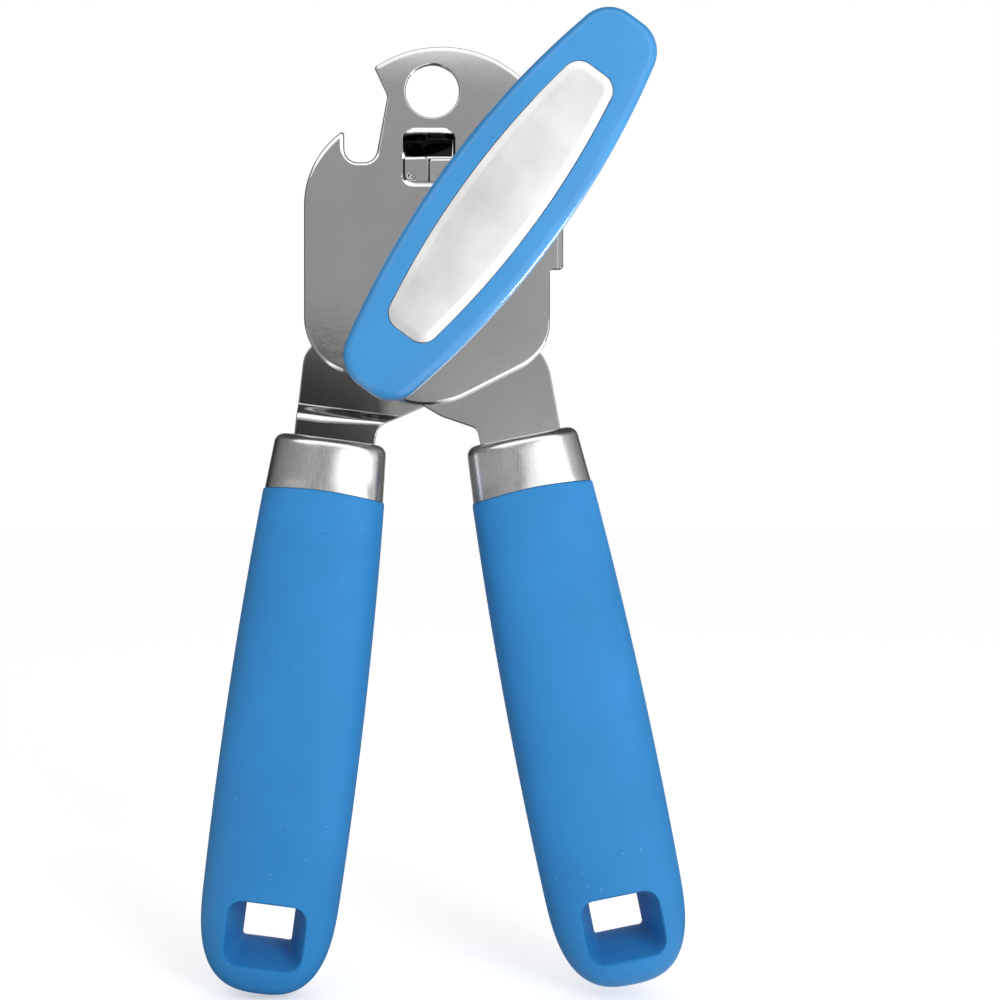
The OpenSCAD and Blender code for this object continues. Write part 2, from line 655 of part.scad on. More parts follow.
module handle(joint, tilt) {
    upright() at(joint, handle_z) rotate(tilt) children();
}

slot_corner_r = 3.2;
slot_back_corner_r = 0.8;

// Outline of the hang slot at height z; k runs from 0 at the front to 1 at the narrow back
function slot_ring(k, z) = at_height(
    [for (p = rounded(box_corners(slot_w - 2 * slot_draft * k, slot_h - 2 * slot_draft * k,
        slot_corner_r + (slot_back_corner_r - slot_corner_r) * k))) p - [0, grip_l - slot_end]], z);

module grip() difference() {
    lofted([for (s = grip_stops) ring(grip_half_w(s), grip_half_d(s), -s,
        joint_arch * max(0, 1 - s / 4))]);
    lofted([for (s = [core_l + 0.3, 40, 20, 8]) core_ring(s, 0), core_ring(-3, 0)]);
    lofted([
        slot_ring(0.7, -grip_max_d / 2 - 0.4), slot_ring(1, -grip_max_d / 2 + 3.4),
        slot_ring(0.2, grip_max_d / 2 - 2.2), slot_ring(-0.15, grip_max_d / 2 + 0.4)]);
}

function core_ring(s, fit) = ring(swell(grip_top_w, grip_max_w, s) - grip_wall - fit,
    swell(grip_top_d, grip_max_d, s) - grip_wall - fit, -s);

ferrule_taper = 0.85;   // the ferrule is this much narrower on each side at its top
ferrule_round = 2;
ferrule_step = 0.25;    // the ferrule's wall lies this far inside the grip's
ferrule_half_w = grip_top_w / 2 - ferrule_step;
ferrule_half_d = grip_top_d / 2 - ferrule_step;

function ferrule_ring(y, inset, arch = 0) = let (k = ferrule_taper * y / ferrule_l + inset)
    ring(ferrule_half_w - k, ferrule_half_d - k, y, arch);

module ferrule(neck_x) difference() {
    lofted(concat([ferrule_ring(joint_gap, 0.2, joint_arch), ferrule_ring(joint_gap + 0.3, 0, joint_arch),
            ferrule_ring(4, 0)],
        [for (p = eased(ferrule_round, ferrule_l, 5)) ferrule_ring(p[1], p[0])]));
    lofted([ferrule_ring(-2, ferrule_wall), ferrule_ring(ferrule_l - ferrule_wall, ferrule_wall + 0.3)]);
    translate([neck_x, ferrule_l, 0])
        cube([neck_w + 2 * neck_play, 4 * ferrule_wall, arm_t + 2 * neck_play], center = true);
}

module core(neck_x) difference() {
    lofted(concat([for (s = [core_l, core_l - 0.8]) core_ring(s, core_fit + (s > core_l - 0.4 ? 0.8 : 0))],
        [for (s = [40, 20, 8]) core_ring(s, core_fit)],
        [core_ring(-joint_arch, core_fit), ferrule_ring(joint_arch + 0.2, ferrule_wall + core_fit),
         ferrule_ring(ferrule_l - ferrule_wall - 0.4, ferrule_wall + 0.3 + core_fit)]));
    translate([0, (ferrule_l - tang_l) / 2, 0])
        cube([tang_w + 0.1, ferrule_l + tang_l + 0.2, arm_t + 0.06], center = true);
    translate([neck_x, neck_drop + ferrule_l / 2 - neck_fillet, 0])
        cube([neck_w + neck_play, ferrule_l, arm_t + 0.06], center = true);
    for (drop = tang_pin_drops) translate([0, -drop, -reach]) cylinder(r = tang_pin_r + seat, h = 2 * reach);
}

module tang_pins() {
    for (drop = tang_pin_drops) translate([0, -drop, 0])
        cylinder(r = tang_pin_r, h = 2 * (grip_half_d(drop) - grip_wall - core_fit) - 0.4, center = true);
}

module left_ferrule() color(bright_steel) handle(left_joint, -left_tilt) ferrule(fixed_neck);
module right_ferrule() color(bright_steel) handle(right_joint, right_tilt) ferrule(lever_neck);
module left_core() color(core_grey) handle(left_joint, -left_tilt) core(fixed_neck);
module right_core() color(core_grey) handle(right_joint, right_tilt) core(lever_neck);
module left_grip() color(key_blue) handle(left_joint, -left_tilt) grip();
module right_grip() color(key_blue) handle(right_joint, right_tilt) grip();
module left_tang_pins() color(steel) handle(left_joint, -left_tilt) tang_pins();
module right_tang_pins() color(steel) handle(right_joint, right_tilt) tang_pins();

front_plate();
fixed_arm();
lever_arm();
pivot_rivet();
pivot_bushing();
pivot_washer();
feed_bushing();
drive_shaft();
drive_gear();
feed_wheel();
feed_nut();
key_body();
key_inlay();
key_washer();
cutter_axle();
cutter_spacer();
cutter_gear();
cutter_wheel();
cutter_washer();
left_ferrule();
right_ferrule();
left_core();
right_core();
left_grip();
right_grip();
left_tang_pins();
right_tang_pins();
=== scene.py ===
"""Looks of the manual can opener: finer forms for the pieces in view, materials, light and camera."""

import bmesh
import bpy
import json
import math
import numpy as np
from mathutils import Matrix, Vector
from mathutils.geometry import delaunay_2d_cdt


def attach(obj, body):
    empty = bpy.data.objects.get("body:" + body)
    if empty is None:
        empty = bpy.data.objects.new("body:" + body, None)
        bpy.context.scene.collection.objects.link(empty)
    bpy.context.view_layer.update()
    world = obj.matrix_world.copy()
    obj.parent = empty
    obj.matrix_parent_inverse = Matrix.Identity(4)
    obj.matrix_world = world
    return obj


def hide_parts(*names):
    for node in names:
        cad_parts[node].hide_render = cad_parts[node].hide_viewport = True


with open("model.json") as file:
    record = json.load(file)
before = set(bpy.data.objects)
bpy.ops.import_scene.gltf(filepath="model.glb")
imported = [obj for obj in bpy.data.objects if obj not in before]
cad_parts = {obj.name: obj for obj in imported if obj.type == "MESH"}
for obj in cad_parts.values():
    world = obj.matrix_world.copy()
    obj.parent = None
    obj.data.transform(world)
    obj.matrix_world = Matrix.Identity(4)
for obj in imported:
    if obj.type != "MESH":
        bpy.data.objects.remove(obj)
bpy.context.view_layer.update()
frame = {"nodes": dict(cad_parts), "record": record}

MM = 0.001

# ---- places and sizes, in mm, drawn flat: x to the right, y up, z towards the viewer ----

PLATE_T = 1.6
HEAD_X, HEAD_W = -1.1, 51.6
LEFT, RIGHT = HEAD_X - HEAD_W / 2, HEAD_X + HEAD_W / 2
SHAFT, CUTTER, PIVOT = (13.4, -25.8), (-4.6, -25.8), (-4.6, -50.2)
HANG_HOLE_R, RIVET_HOLE_R, BUSHING_HOLE_R = 5.6, 2.65, 5.05
WINDOW_W, WINDOW_H = 10.1, 10.6
WINDOW = (HEAD_X + 0.43, -8.3 - WINDOW_H / 2)
EAR_X, EAR_FOOT, EAR_L = RIGHT + 2.9, -37.4, 18.2
ARM_T, LEVER_FRONT, FIXED_FRONT = 1.8, -1.05, -3.1
ARM_TOP, SLIT, SLIT_EDGE = -13.3, -0.8, -0.42
DIMPLE = (-4.35, -17.75)
KEY_TURN, KEY_BACK, KEY_FRONT = 53.6, 6.75, 15.75
KEY_L, KEY_W, KEY_END_W = 92.4, 26.4, 17.8
INLAY_L, INLAY_W, INLAY_END_W = 65.4, 16, 11.2
HANDLE_Z = -1.95
LEFT_JOINT, RIGHT_JOINT = (-22.8, -84.8), (21.1, -84.1)
LEFT_TURN, RIGHT_TURN = -7.5, 11.5
GRIP_L, GRIP_BELLY = 105.5, 63
GRIP_TOP_W, GRIP_MAX_W, GRIP_TOP_D, GRIP_MAX_D = 25.7, 29.4, 16.4, 18.2
SLOT_W, SLOT_H, SLOT_END = 16, 13.5, 13.6
FERRULE_L, FERRULE_ROUND = 12.0, 2.0
OVAL = 2.5  # exponent of the handles' flattened oval section


def unit(v):
    return v / np.linalg.norm(v)


def cross(u, w):
    return u[..., 0] * w[..., 1] - u[..., 1] * w[..., 0]


def turned(p, degrees):
    a = math.radians(degrees)
    return np.array([p[0] * math.cos(a) - p[1] * math.sin(a), p[0] * math.sin(a) + p[1] * math.cos(a)])


def corner_arc(a, b, c, r, steps):
    """Points of the arc that rounds corner b between its neighbours."""
    u, w = unit(a - b), unit(c - b)
    half = math.acos(float(np.clip(u @ w, -1, 1))) / 2
    side = 1 if cross(b - a, c - b) > 0 else -1
    centre = b + unit(u + w) * r / math.sin(half)
    start = b + u * r / math.tan(half) - centre
    t0 = math.atan2(start[1], start[0])
    sweep = side * (math.pi - 2 * half)
    return [centre + r * np.array([math.cos(t0 + sweep * i / steps), math.sin(t0 + sweep * i / steps)])
            for i in range(steps + 1)]


def rounded(corners, steps=16):
    """Points of the closed outline through corners (x, y, radius)."""
    xy = [np.array(c[:2], float) for c in corners]
    n = len(xy)
    return [p for i in range(n) for p in corner_arc(xy[i - 1], xy[i], xy[(i + 1) % n], corners[i][2], steps)]


def box_corners(w, h, r):
    return [(w / 2, h / 2, r), (-w / 2, h / 2, r), (-w / 2, -h / 2, r), (w / 2, -h / 2, r)]


def evenly(outline, spacing):
    """The closed outline again, as points about the given distance apart."""
    p = np.array(outline)
    step = np.linalg.norm(np.roll(p, -1, 0) - p, axis=1)
    p = p[step > 1e-6]
    q = np.vstack([p, p[:1]])
    run = np.concatenate([[0], np.cumsum(np.linalg.norm(np.diff(q, axis=0), axis=1))])
    n = max(12, int(round(run[-1] / spacing)))
    at = np.linspace(0, run[-1], n, endpoint=False)
    return np.column_stack([np.interp(at, run, q[:, 0]), np.interp(at, run, q[:, 1])])


def inside(points, outline):
    """Whether each point is inside the closed outline."""
    x, y = points[:, 0][:, None], points[:, 1][:, None]
    a, b = outline, np.roll(outline, -1, 0)
    hits = (a[:, 1] > y) != (b[:, 1] > y)
    with np.errstate(divide="ignore", invalid="ignore"):
        ahead = x < (b[:, 0] - a[:, 0]) * (y - a[:, 1]) / (b[:, 1] - a[:, 1]) + a[:, 0]
    return (hits & ahead).sum(1) % 2 == 1


def nearest(points, outline):
    """Distance from each point to the closed outline, the unit vector away from it, and its foot there."""
    a, b = outline, np.roll(outline, -1, 0)
    ab = b - a
    d = np.empty(len(points))
    away = np.empty((len(points), 2))
    foot = np.empty((len(points), 2))
    for i in range(0, len(points), 400):
        p = points[i:i + 400][:, None, :]
        t = np.clip(((p - a) * ab).sum(2) / (ab * ab).sum(1), 0, 1)
        gap = p - (a + t[..., None] * ab)
        length = np.linalg.norm(gap, axis=2)
        k = length.argmin(1)
        row = np.arange(len(k))
        d[i:i + 400] = length[row, k]
        away[i:i + 400] = gap[row, k] / np.maximum(length[row, k], 1e-9)[:, None]
        foot[i:i + 400] = points[i:i + 400] - gap[row, k]
    return d, away, foot


# ---- meshes ----

def stood_up(points, place=None, scale=MM):
    """Flat-drawn points in the world; place (at, degrees, z) turns and shifts them first."""
    p = np.array(points, float)
    if place is not None:
        (x0, y0), degrees, z0 = place
        c, s = math.cos(math.radians(degrees)), math.sin(math.radians(degrees))
        p = np.column_stack([p[:, 0] * c - p[:, 1] * s + x0, p[:, 0] * s + p[:, 1] * c + y0, p[:, 2] + z0])
    return np.column_stack([p[:, 0], -p[:, 2], p[:, 1]]) * scale


def add_piece(name, mesh, body):
    obj = bpy.data.objects.new(name, mesh)
    bpy.context.scene.collection.objects.link(obj)
    if body:
        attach(obj, body)
    return obj


def put(name, points, faces, body, place=None):
    """A mesh piece from flat-drawn points, which rides on the body."""
    mesh = bpy.data.meshes.new(name)
    mesh.from_pydata(stood_up(points, place).tolist(), [], faces)
    bm = bmesh.new()
    bm.from_mesh(mesh)
    bmesh.ops.recalc_face_normals(bm, faces=bm.faces)
    bm.to_mesh(mesh)
    bm.free()
    return add_piece(name, mesh, body)


def put_raw(name, points, faces, corner_normals, body, place):
    """As put(), with the faces as given and the normal of each face corner set."""
    mesh = bpy.data.meshes.new(name)
    mesh.from_pydata(stood_up(points, place).tolist(), [], faces)
    for p in mesh.polygons:
        p.use_smooth = True
    turn = place and ((0, 0), place[1], 0)
    mesh.normals_split_custom_set(stood_up(corner_normals, turn, 1).tolist())
    return add_piece(name, mesh, body)


def soften(obj, degrees=32):
    """Smooth shading, with edges sharper than the given angle kept crisp."""
    bm = bmesh.new()
    bm.from_mesh(obj.data)
    for f in bm.faces:
        f.smooth = True
    for e in bm.edges:
        e.smooth = len(e.link_faces) == 2 and e.calc_face_angle(0) < math.radians(degrees)
    bm.to_mesh(obj.data)
    bm.free()
    return obj


def lofted(rings, cap=(True, True)):
    """Points and faces through a stack of closed rings."""
    n = len(rings[0])
    points = [p for ring in rings for p in ring]
    faces = [(j * n + i, j * n + (i + 1) % n, (j + 1) * n + (i + 1) % n, (j + 1) * n + i)
             for j in range(len(rings) - 1) for i in range(n)]
    if cap[0]:
        faces.append(tuple(range(n))[::-1])
    if cap[1]:
        faces.append(tuple((len(rings) - 1) * n + i for i in range(n)))
    return points, faces


def at_height(outline, z):
    return [(p[0], p[1], z) for p in outline]


def circle(x, y, r, n=96):
    return [np.array([x + r * math.cos(2 * math.pi * i / n), y + r * math.sin(2 * math.pi * i / n)])
            for i in range(n)]


def smooth(value, low, high):
    """Soft step from 0 at low to 1 at high."""
    t = np.clip((value - low) / (high - low), 0, 1)
    return t * t * (3 - 2 * t)


def edge_form(t, run, lean, crisp, zone):
    """Drop and slope of a rolled edge, from where it starts (t = 0) to the outline (t = 1).

    It leans by the tangent lean, reached softly or crisply, and a soft one ends in a tight round of
    width zone; a lean of 0 makes it a plain quarter round.
    """
    soft = np.where(t < 0.4, 0.4 * ((t / 0.4) ** 3 - 0.5 * (t / 0.4) ** 4), t - 0.2)
    sharp = np.where(t < 0.06, 0.06 * ((t / 0.06) ** 3 - 0.5 * (t / 0.06) ** 4), t - 0.03)
    last = np.clip(zone, 1e-6, 0.5 * run) / run
    turn = np.where(crisp, 0, np.clip((t - 1 + last) / last, 0, 1))
    drop = lean * np.where(crisp, sharp, soft) + 2.5 * last / 1.6 * turn ** 1.6
    rate = lean * np.where(crisp, smooth(t, 0, 0.06), smooth(t, 0, 0.4)) + 2.5 * turn ** 0.6
    plain = lean == 0
    root = np.sqrt(np.maximum(1 - t * t, 0))
    return (run * np.where(plain, 1 - root, drop),
            np.where(plain, t / np.maximum(root, 0.1), rate))


RIM_STEPS = (0.03, 0.07, 0.12, 0.18, 0.26, 0.4, 0.62, 0.84, 0.94, 1.0, 1.3)  # rows of points, in runs
GRID = 2.5


def in_sheet(points, loops):
    """Whether each point is inside the first outline and outside the others."""
    hit = inside(points, loops[0])
    for hole in loops[1:]:
        hit &= ~inside(points, hole)
    return hit


def inward_normals(loop, loops):
    """Unit vectors across one of the outlines at its points, into the sheet."""
    tangent = np.roll(loop, -1, 0) - np.roll(loop, 1, 0)
    normal = np.column_stack([-tangent[:, 1], tangent[:, 0]])
    normal /= np.linalg.norm(normal, axis=1)[:, None]
    return -normal if in_sheet(loop + normal * 0.02, loops).mean() < 0.5 else normal


def rim_at(rim, at):
    """Run, tan(lean), whether crisp, and zone of a rolled edge, at points of its outline."""
    if callable(rim):
        return rim(at)
    run, lean, zone = rim
    n = len(at)
    return np.full(n, run), np.full(n, math.tan(math.radians(lean))), np.zeros(n, bool), zone


def triangulated(points, edges):
    """Points and triangles that keep the edges, and the given point that each point comes from."""
    vs, _, tris, origins, *_ = delaunay_2d_cdt([Vector(p) for p in points], edges, [], 0, 1e-6)
    return (np.array([tuple(p) for p in vs]), [t for t in tris if len(t) == 3],
            [o[0] if o else -1 for o in origins])


def sheet_mesh(loops, inward, rims, more):
    """Points and triangles of a sheet: rows of points over its rolled edges, and a grid between them."""
    rows = []
    for k, loop in enumerate(loops):
        run = rim_at(rims[k], loop)[0]
        for t in RIM_STEPS:
            rows.append(np.column_stack([loop + inward[k] * run[:, None] * t, run * t, np.full(len(loop), k)]))
    if len(more):
        rows.append(np.column_stack([more, np.zeros(len(more)), np.full(len(more), -1)]))
    rows = np.vstack(rows)
    pts, depth, owner = rows[:, :2], rows[:, 2], rows[:, 3]
    low, high = loops[0].min(0), loops[0].max(0)
    gx, gy = np.meshgrid(np.arange(low[0], high[0], GRID), np.arange(low[1], high[1], GRID))
    grid = np.column_stack([gx.ravel(), gy.ravel()])
    keep, keep_grid = in_sheet(pts, loops), in_sheet(grid, loops)
    for k, loop in enumerate(loops):
        d, _, foot = nearest(grid, loop)
        keep_grid &= d > rim_at(rims[k], foot)[0] * 1.3 + 0.6
        d, _, foot = nearest(pts, loop)
        keep &= np.where(owner == k, d > 0.98 * depth, d > np.maximum(rim_at(rims[k], foot)[0], 0.1))
    pts, grid = pts[keep], grid[keep_grid]
    if len(more):
        grid = grid[[np.hypot(*(pts - g).T).min() > 0.5 for g in grid]]
    edges, start = [], 0
    for loop in loops:
        n = len(loop)
        edges += [(start + i, start + (i + 1) % n) for i in range(n)]
        start += n
    v, tris, _ = triangulated(np.vstack(loops + [pts, grid]), edges)
    tris = np.array(tris)
    tris = tris[in_sheet(v[tris].mean(1), loops)]
    turn = cross(v[tris[:, 1]] - v[tris[:, 0]], v[tris[:, 2]] - v[tris[:, 0]])
    return v, np.where(turn[:, None] > 0, tris, tris[:, ::-1])


def relief(v, loops, inward, rims, crown):
    """Drop and slope of the crown alone, then of the front face with its rolled edges."""
    e = 0.02
    bow, bow_slope = np.zeros(len(v)), np.zeros((len(v), 2))
    if crown is not None:
        bow = crown(v)
        bow_slope = -np.column_stack([crown(v + [e, 0]) - bow, crown(v + [0, e]) - bow]) / e
    drop, slope = np.zeros(len(v)), np.zeros((len(v), 2))
    for k, loop in enumerate(loops):
        d, away, foot = nearest(v, loop)
        for i in np.nonzero(d < 1e-6)[0]:
            away[i] = inward[k][((loop - v[i]) ** 2).sum(1).argmin()]
        run, lean, crisp, zone = rim_at(rims[k], foot)
        fall, rate = edge_form(np.clip(1 - d / run, 0, 1), run, lean, crisp, zone)
        take = fall > drop
        drop = np.where(take, fall, drop)
        slope = np.where(take[:, None], away * rate[:, None], slope)
    return bow, bow_slope, drop + bow, slope + bow_slope


def facing(slope):
    """Unit normals of a face that rises by the given slopes, which lean against them."""
    normals = np.column_stack([-slope, np.ones(len(slope))])
    return normals / np.linalg.norm(normals, axis=1)[:, None]


def border_edges(faces):
    """The edges that only one of the triangles has."""
    used = {}
    for t in faces:
        for i in range(3):
            edge = (t[i], t[(i + 1) % 3])
            used.setdefault(frozenset(edge), []).append(edge)
    return [e[0] for e in used.values() if len(e) == 1]


def pressed(name, body, outlines, rims, front, thick, spacing=0.35, crown=None, place=None, follow=False,
            more=()):
    """A sheet whose front face rolls over at each outline; the first outline is its outer edge.

    rims gives, for each outline, run, lean in degrees and zone of its rolled edge, or a function of
    its points that gives run, tan(lean), where it is crisp, and zone;
    crown(points) is how far the face lies lower. The back is flat, or follows the crown. more are
    extra points of the mesh, where the crown bends sharply.
    """
    loops = [evenly(o, spacing) for o in outlines]
    inward = [inward_normals(loop, loops) for loop in loops]
    v, tris = sheet_mesh(loops, inward, rims, more)
    bow, bow_slope, drop, slope = relief(v, loops, inward, rims, crown)
    points = [(p[0], p[1], front - h) for p, h in zip(v, drop)]
    faces = [tuple(int(i) for i in t) for t in tris]
    normals = facing(slope)
    corner_normals = [normals[i] for t in faces for i in t]
    border = border_edges(faces)
    side = {}
    for a, b in border:
        t = unit(v[b] - v[a])
        for i in (a, b):
            side[i] = side.get(i, np.zeros(2)) + np.array([t[1], -t[0]])
    if follow:
        below = {i: len(v) + i for i in range(len(v))}
        points += [(p[0], p[1], front - thick - h) for p, h in zip(v, bow)]
        normals = -facing(bow_slope)
        back = [tuple(below[i] for i in t[::-1]) for t in faces]
        back_normals = [normals[i] for t in faces for i in t[::-1]]
    else:
        flat = sorted(side)
        below = {i: len(v) + k for k, i in enumerate(flat)}
        points += [(v[i][0], v[i][1], front - thick) for i in flat]
        again = {i: k for k, i in enumerate(flat)}
        w, tris, origin = triangulated(v[flat], [(again[a], again[b]) for a, b in border])
        back = []
        for t in tris:
            p = w[list(t)]
            if in_sheet(p.mean(0)[None, :], loops)[0]:
                if cross(p[1] - p[0], p[2] - p[0]) > 0:
                    t = t[::-1]
                back.append(tuple(below[flat[origin[i]]] for i in t))
        back_normals = [np.array([0, 0, -1.0])] * (3 * len(back))
    for a, b in border:
        faces.append((b, a, below[a], below[b]))
        corner_normals += [np.array([*unit(side[i]), 0]) for i in (b, a, a, b)]
    return put_raw(name, points, faces + back, corner_normals + back_normals, body, place)


def carve(obj, tool):
    """Cuts the tool out of the piece and removes the tool."""
    cut = obj.modifiers.new("cut", "BOOLEAN")
    cut.operation, cut.solver, cut.object = "DIFFERENCE", "EXACT", tool
    bpy.context.view_layer.update()
    mesh = bpy.data.meshes.new_from_object(obj.evaluated_get(bpy.context.evaluated_depsgraph_get()))
    obj.modifiers.clear()
    obj.data = mesh
    bpy.data.objects.remove(tool)
    return obj


# ---- head plate ----

def plate_outline():
    """Head plate: rounded top, claw and notch on the left, ear on the right, blunt point below."""
    head_top, top_r, corner_drop, corner_r = 9.4, 25.2, 55, 10.8
    notch_x, notch_w, notch_drop, claw_rise, hook_drop = -15.2, 6.4, 14.9, 5, 8
    slope, bottom_r = math.radians(26.7), 18.8
    bottom_tip = 65.8 + bottom_r * (1 / math.cos(slope) - 1)
    centre = np.array([HEAD_X + 2.9, head_top - top_r])
    claw, shoulder = math.radians(123), math.radians(43.6)
    mid = (claw + shoulder) / 2
    at = centre + top_r * np.array([math.cos(shoulder), math.sin(shoulder)])
    tip = centre + top_r / math.cos((claw - shoulder) / 2) * np.array([math.cos(mid), math.sin(mid)])
    run = RIGHT - at[0]
    return rounded([
        (RIGHT, at[1] - run / math.tan(shoulder), 0.97 * run / math.sin(shoulder) / math.tan(shoulder / 2)),
        (tip[0], tip[1], 0.98 * top_r),
        (notch_x + 3, claw_rise, 0.55),
        (notch_x + notch_w / 2 + 2.6, claw_rise - 6, 1.7),
        (notch_x + notch_w / 2, -notch_drop, 2.8),
        (notch_x - notch_w / 2, -notch_drop, 2.9),
        (notch_x - notch_w / 2 - 0.1, -hook_drop, 0.5),
        (LEFT, -hook_drop - 6.6, 19),
        (LEFT, -corner_drop, corner_r + 1.6),
        ((LEFT + RIGHT) / 2 + 0.2, -bottom_tip, bottom_r),
        (RIGHT, -corner_drop, corner_r),
        (RIGHT, EAR_FOOT, 0.2), (EAR_X, EAR_FOOT, 1.0), (EAR_X, EAR_FOOT + EAR_L, 1.0),
        (RIGHT, EAR_FOOT + EAR_L, 0.2)], 24)


window = [p + np.array(WINDOW) for p in rounded(box_corners(WINDOW_W, WINDOW_H, 1.7), 10)]


EAR_BEND = 1.3


def plate_crown(p):
    """A slight bow, with the top edge and the ear leaning back."""
    bow = 0.2 * ((p[:, 0] - HEAD_X) / 25.8) ** 2 + 0.3 * ((p[:, 1] + 28) / 37) ** 2
    ear = p[:, 0] - (EAR_X - EAR_BEND)
    return (bow + 0.42 * np.clip((p[:, 1] - 0.5) / 9, 0, 1) ** 2.4
            + 0.7 * np.where(ear > 0.01, ear, np.clip(ear + 0.01, 0, 1) ** 2 / 0.04))


def plate_rim(p):
    """Width and lean of the plate's rolled edge: broad along the top, the hook and the bottom."""
    x, y = p[:, 0], p[:, 1]
    run = np.full(len(p), 0.42)
    lean = np.where(x > 20, 3.0, 16.0)

    def along(here, width, angle):
        nonlocal run, lean
        here = np.clip(here, 0, 1)
        run = run + (width - run) * here
        lean = lean + (angle - lean) * here

    along(smooth(y, 3.6, 5.2) * smooth(x, -13.2, -11.0), 1.1, 10)                 # top
    along(smooth(y, -9, -4) * smooth(x, 2, 6), 1.1, 10)                           # right shoulder
    along(smooth(-x, 10.2, 10.8) * smooth(-y, 1.5, 3.5) * smooth(y, -15.5, -11), 0.62, 17)  # notch, right
    along(smooth(-x, 10.6, 12.0) * smooth(-y, 11.5, 13.5) * smooth(x, -18.6, -18.2), 0.85, 21)
    along(smooth(-x, 18.0, 18.5) * smooth(y, -24, -9) * smooth(-y, 7, 8.3), 1.15, 22)       # hook
    along(smooth(-y, 47, 53) * smooth(-x, 8, 14), 0.8, 24)                        # lower left corner
    along(smooth(-y, 50, 58) * smooth(x, -8, 2), 0.85, 24)                        # bottom, lower right
    low = (y < -59) & (x < 1.2)                                                   # bottom, left of its middle
    side = ((x > RIGHT - 1) | (x < LEFT + 1)) & (y < -18) & (y > -48)
    run = np.where(low, 0.55, np.where(side, 0.24, run))
    lean = np.where(low, 42, np.where(side, 64, lean))
    return run, np.tan(np.radians(lean)), low | side, 0.24 - 0.1 * smooth(y, -4, 4)


def window_rim(p):
    """Steep beside the tab, broad along the bottom."""
    foot = smooth(WINDOW[1] - p[:, 1], 3.4, 5.2)
    return 0.5 + 0.9 * foot, np.tan(np.radians(60 - 36 * foot)), foot < 0.5, 0.1


HOLE_RIM = (0.1, 10, 0.03)
plate = pressed("head_plate", "head", [plate_outline(), circle(0, 0, HANG_HOLE_R), window,
                                       circle(*PIVOT, RIVET_HOLE_R), circle(*SHAFT, BUSHING_HOLE_R)],
                [plate_rim, (0.4, 12, 0.17), window_rim, HOLE_RIM, HOLE_RIM], PLATE_T / 2, PLATE_T,
                crown=plate_crown,
                more=[(EAR_X - EAR_BEND + dx, y) for dx in (-0.05, 0.02)
                      for y in np.arange(EAR_FOOT + 0.3, EAR_FOOT + EAR_L - 0.2, 0.4)])


def strip(name, body, profile, low, high, ease):
    """A bent strip: its side profile (z, y) carried across from x = low to x = high, with eased edges."""
    z0, y0 = np.mean(profile, 0)
    rings = []
    for x, inset in ((low, ease), (low + 0.3 * ease, 0.3 * ease), (low + ease, 0),
                     (high - ease, 0), (high - 0.3 * ease, 0.3 * ease), (high, ease)):
        k = 1 - inset * 0.1
        rings.append([(x, y0 + (y - y0) * k, z0 + (z - z0) * k) for z, y in profile])
    return soften(put(name, *lofted(rings), body))


# The guide tab: a bead under the top edge of the window, bent back behind the plate
def tab_section(u):
    """Its side profile (z, y), with the bead fading out towards the sides, where u is -1 or 1."""
    k = max(1 - abs(u / 0.8) ** 10, 0) ** 0.5
    return rounded([(-0.3, -7.9, 0.2), (0.5 + 0.16 * k, -8.2 + 0.6 * k, 0.1), (0.62 + 0.42 * k, -8.9, 0.22),
                    (-1.7, -10.05, 1.2), (-1.95, -10.45, 0.2), (-7.4, -12.4, 0.3),
                    (-7.4, -11.1, 0.4), (-3.3, -9.7, 1.0)], 8)


rings = []
for u in np.sin(np.linspace(-math.pi / 2, math.pi / 2, 25)):
    rings.append([(WINDOW[0] + 5.06 * u, p[1], p[0]) for p in tab_section(u)])
tab = soften(put("guide_tab", *lofted(rings), "head"))

# The rim guard: the ear on the right edge, bent back
guard = rounded([(-0.6, EAR_FOOT + 1, 0.1), (-6.0, EAR_FOOT + 1, 2.4), (-6.0, EAR_FOOT + EAR_L - 1, 2.4),
                 (-0.6, EAR_FOOT + EAR_L - 1, 0.1)], 8)
guard_web = strip("rim_guard", "head", guard, EAR_X - 1.4, EAR_X - 0.05, 0.3)
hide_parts("front_plate")

# ---- arms ----

def on(joint, turn, x, y, r):
    """A corner of radius r, given across and up the handle from its joint."""
    return (*(np.array(joint) + turned((x, y), turn)), r)


def tang_holes(joint, turn):
    return [circle(*on(joint, turn, 0, -drop, 0)[:2], 2.02, 24) for drop in (10, 28)]


def fixed_outline():
    def at(x, y, r):
        return on(LEFT_JOINT, LEFT_TURN, x, y, r)
    return rounded([
        at(-6, -38, 1.5), at(6, -38, 1.5), at(6, 2, 0.3), at(9.2, 2, 0.8), at(9.3, 15.8, 3.4),
        (9.9, -60.9, 8), (22.2, -42.8, 5), (22.2, -19.8, 5), (15.4, ARM_TOP, 6), (SLIT - 1.6, ARM_TOP, 1.3),
        (SLIT - 1.6, -20.8, 1), (4.4, -23.8, 1.5), (4.4, -31.3, 4), (-11.6, -40.2, 8), (LEFT - 0.2, -54.6, 6),
        at(-7.8, 2, 0.8), at(-6, 2, 0.3)], 10)


def lever_outline():
    def at(x, y, r):
        return on(RIGHT_JOINT, RIGHT_TURN, x, y, r)
    return rounded([
        at(-6, -38, 1.5), at(6, -38, 1.5), at(6, 2, 0.3), at(8.3, 2, 0.8), at(8.8, 26, 11),
        (15.4, -45.7, 8), (2.4, -38.2, 8), (SLIT, -29.8, 6), (SLIT, ARM_TOP, 0.8), (-12.8, ARM_TOP - 0.4, 5),
        (-14.6, -31.8, 12), (-17.1, -47.2, 12), (-13.6, -59.2, 9), (2.0, -68.2, 8), at(-8.7, 15.4, 2),
        at(-8.7, 2, 0.8), at(-6, 2, 0.3)], 10)


JOGGLE_TOP = 18.7


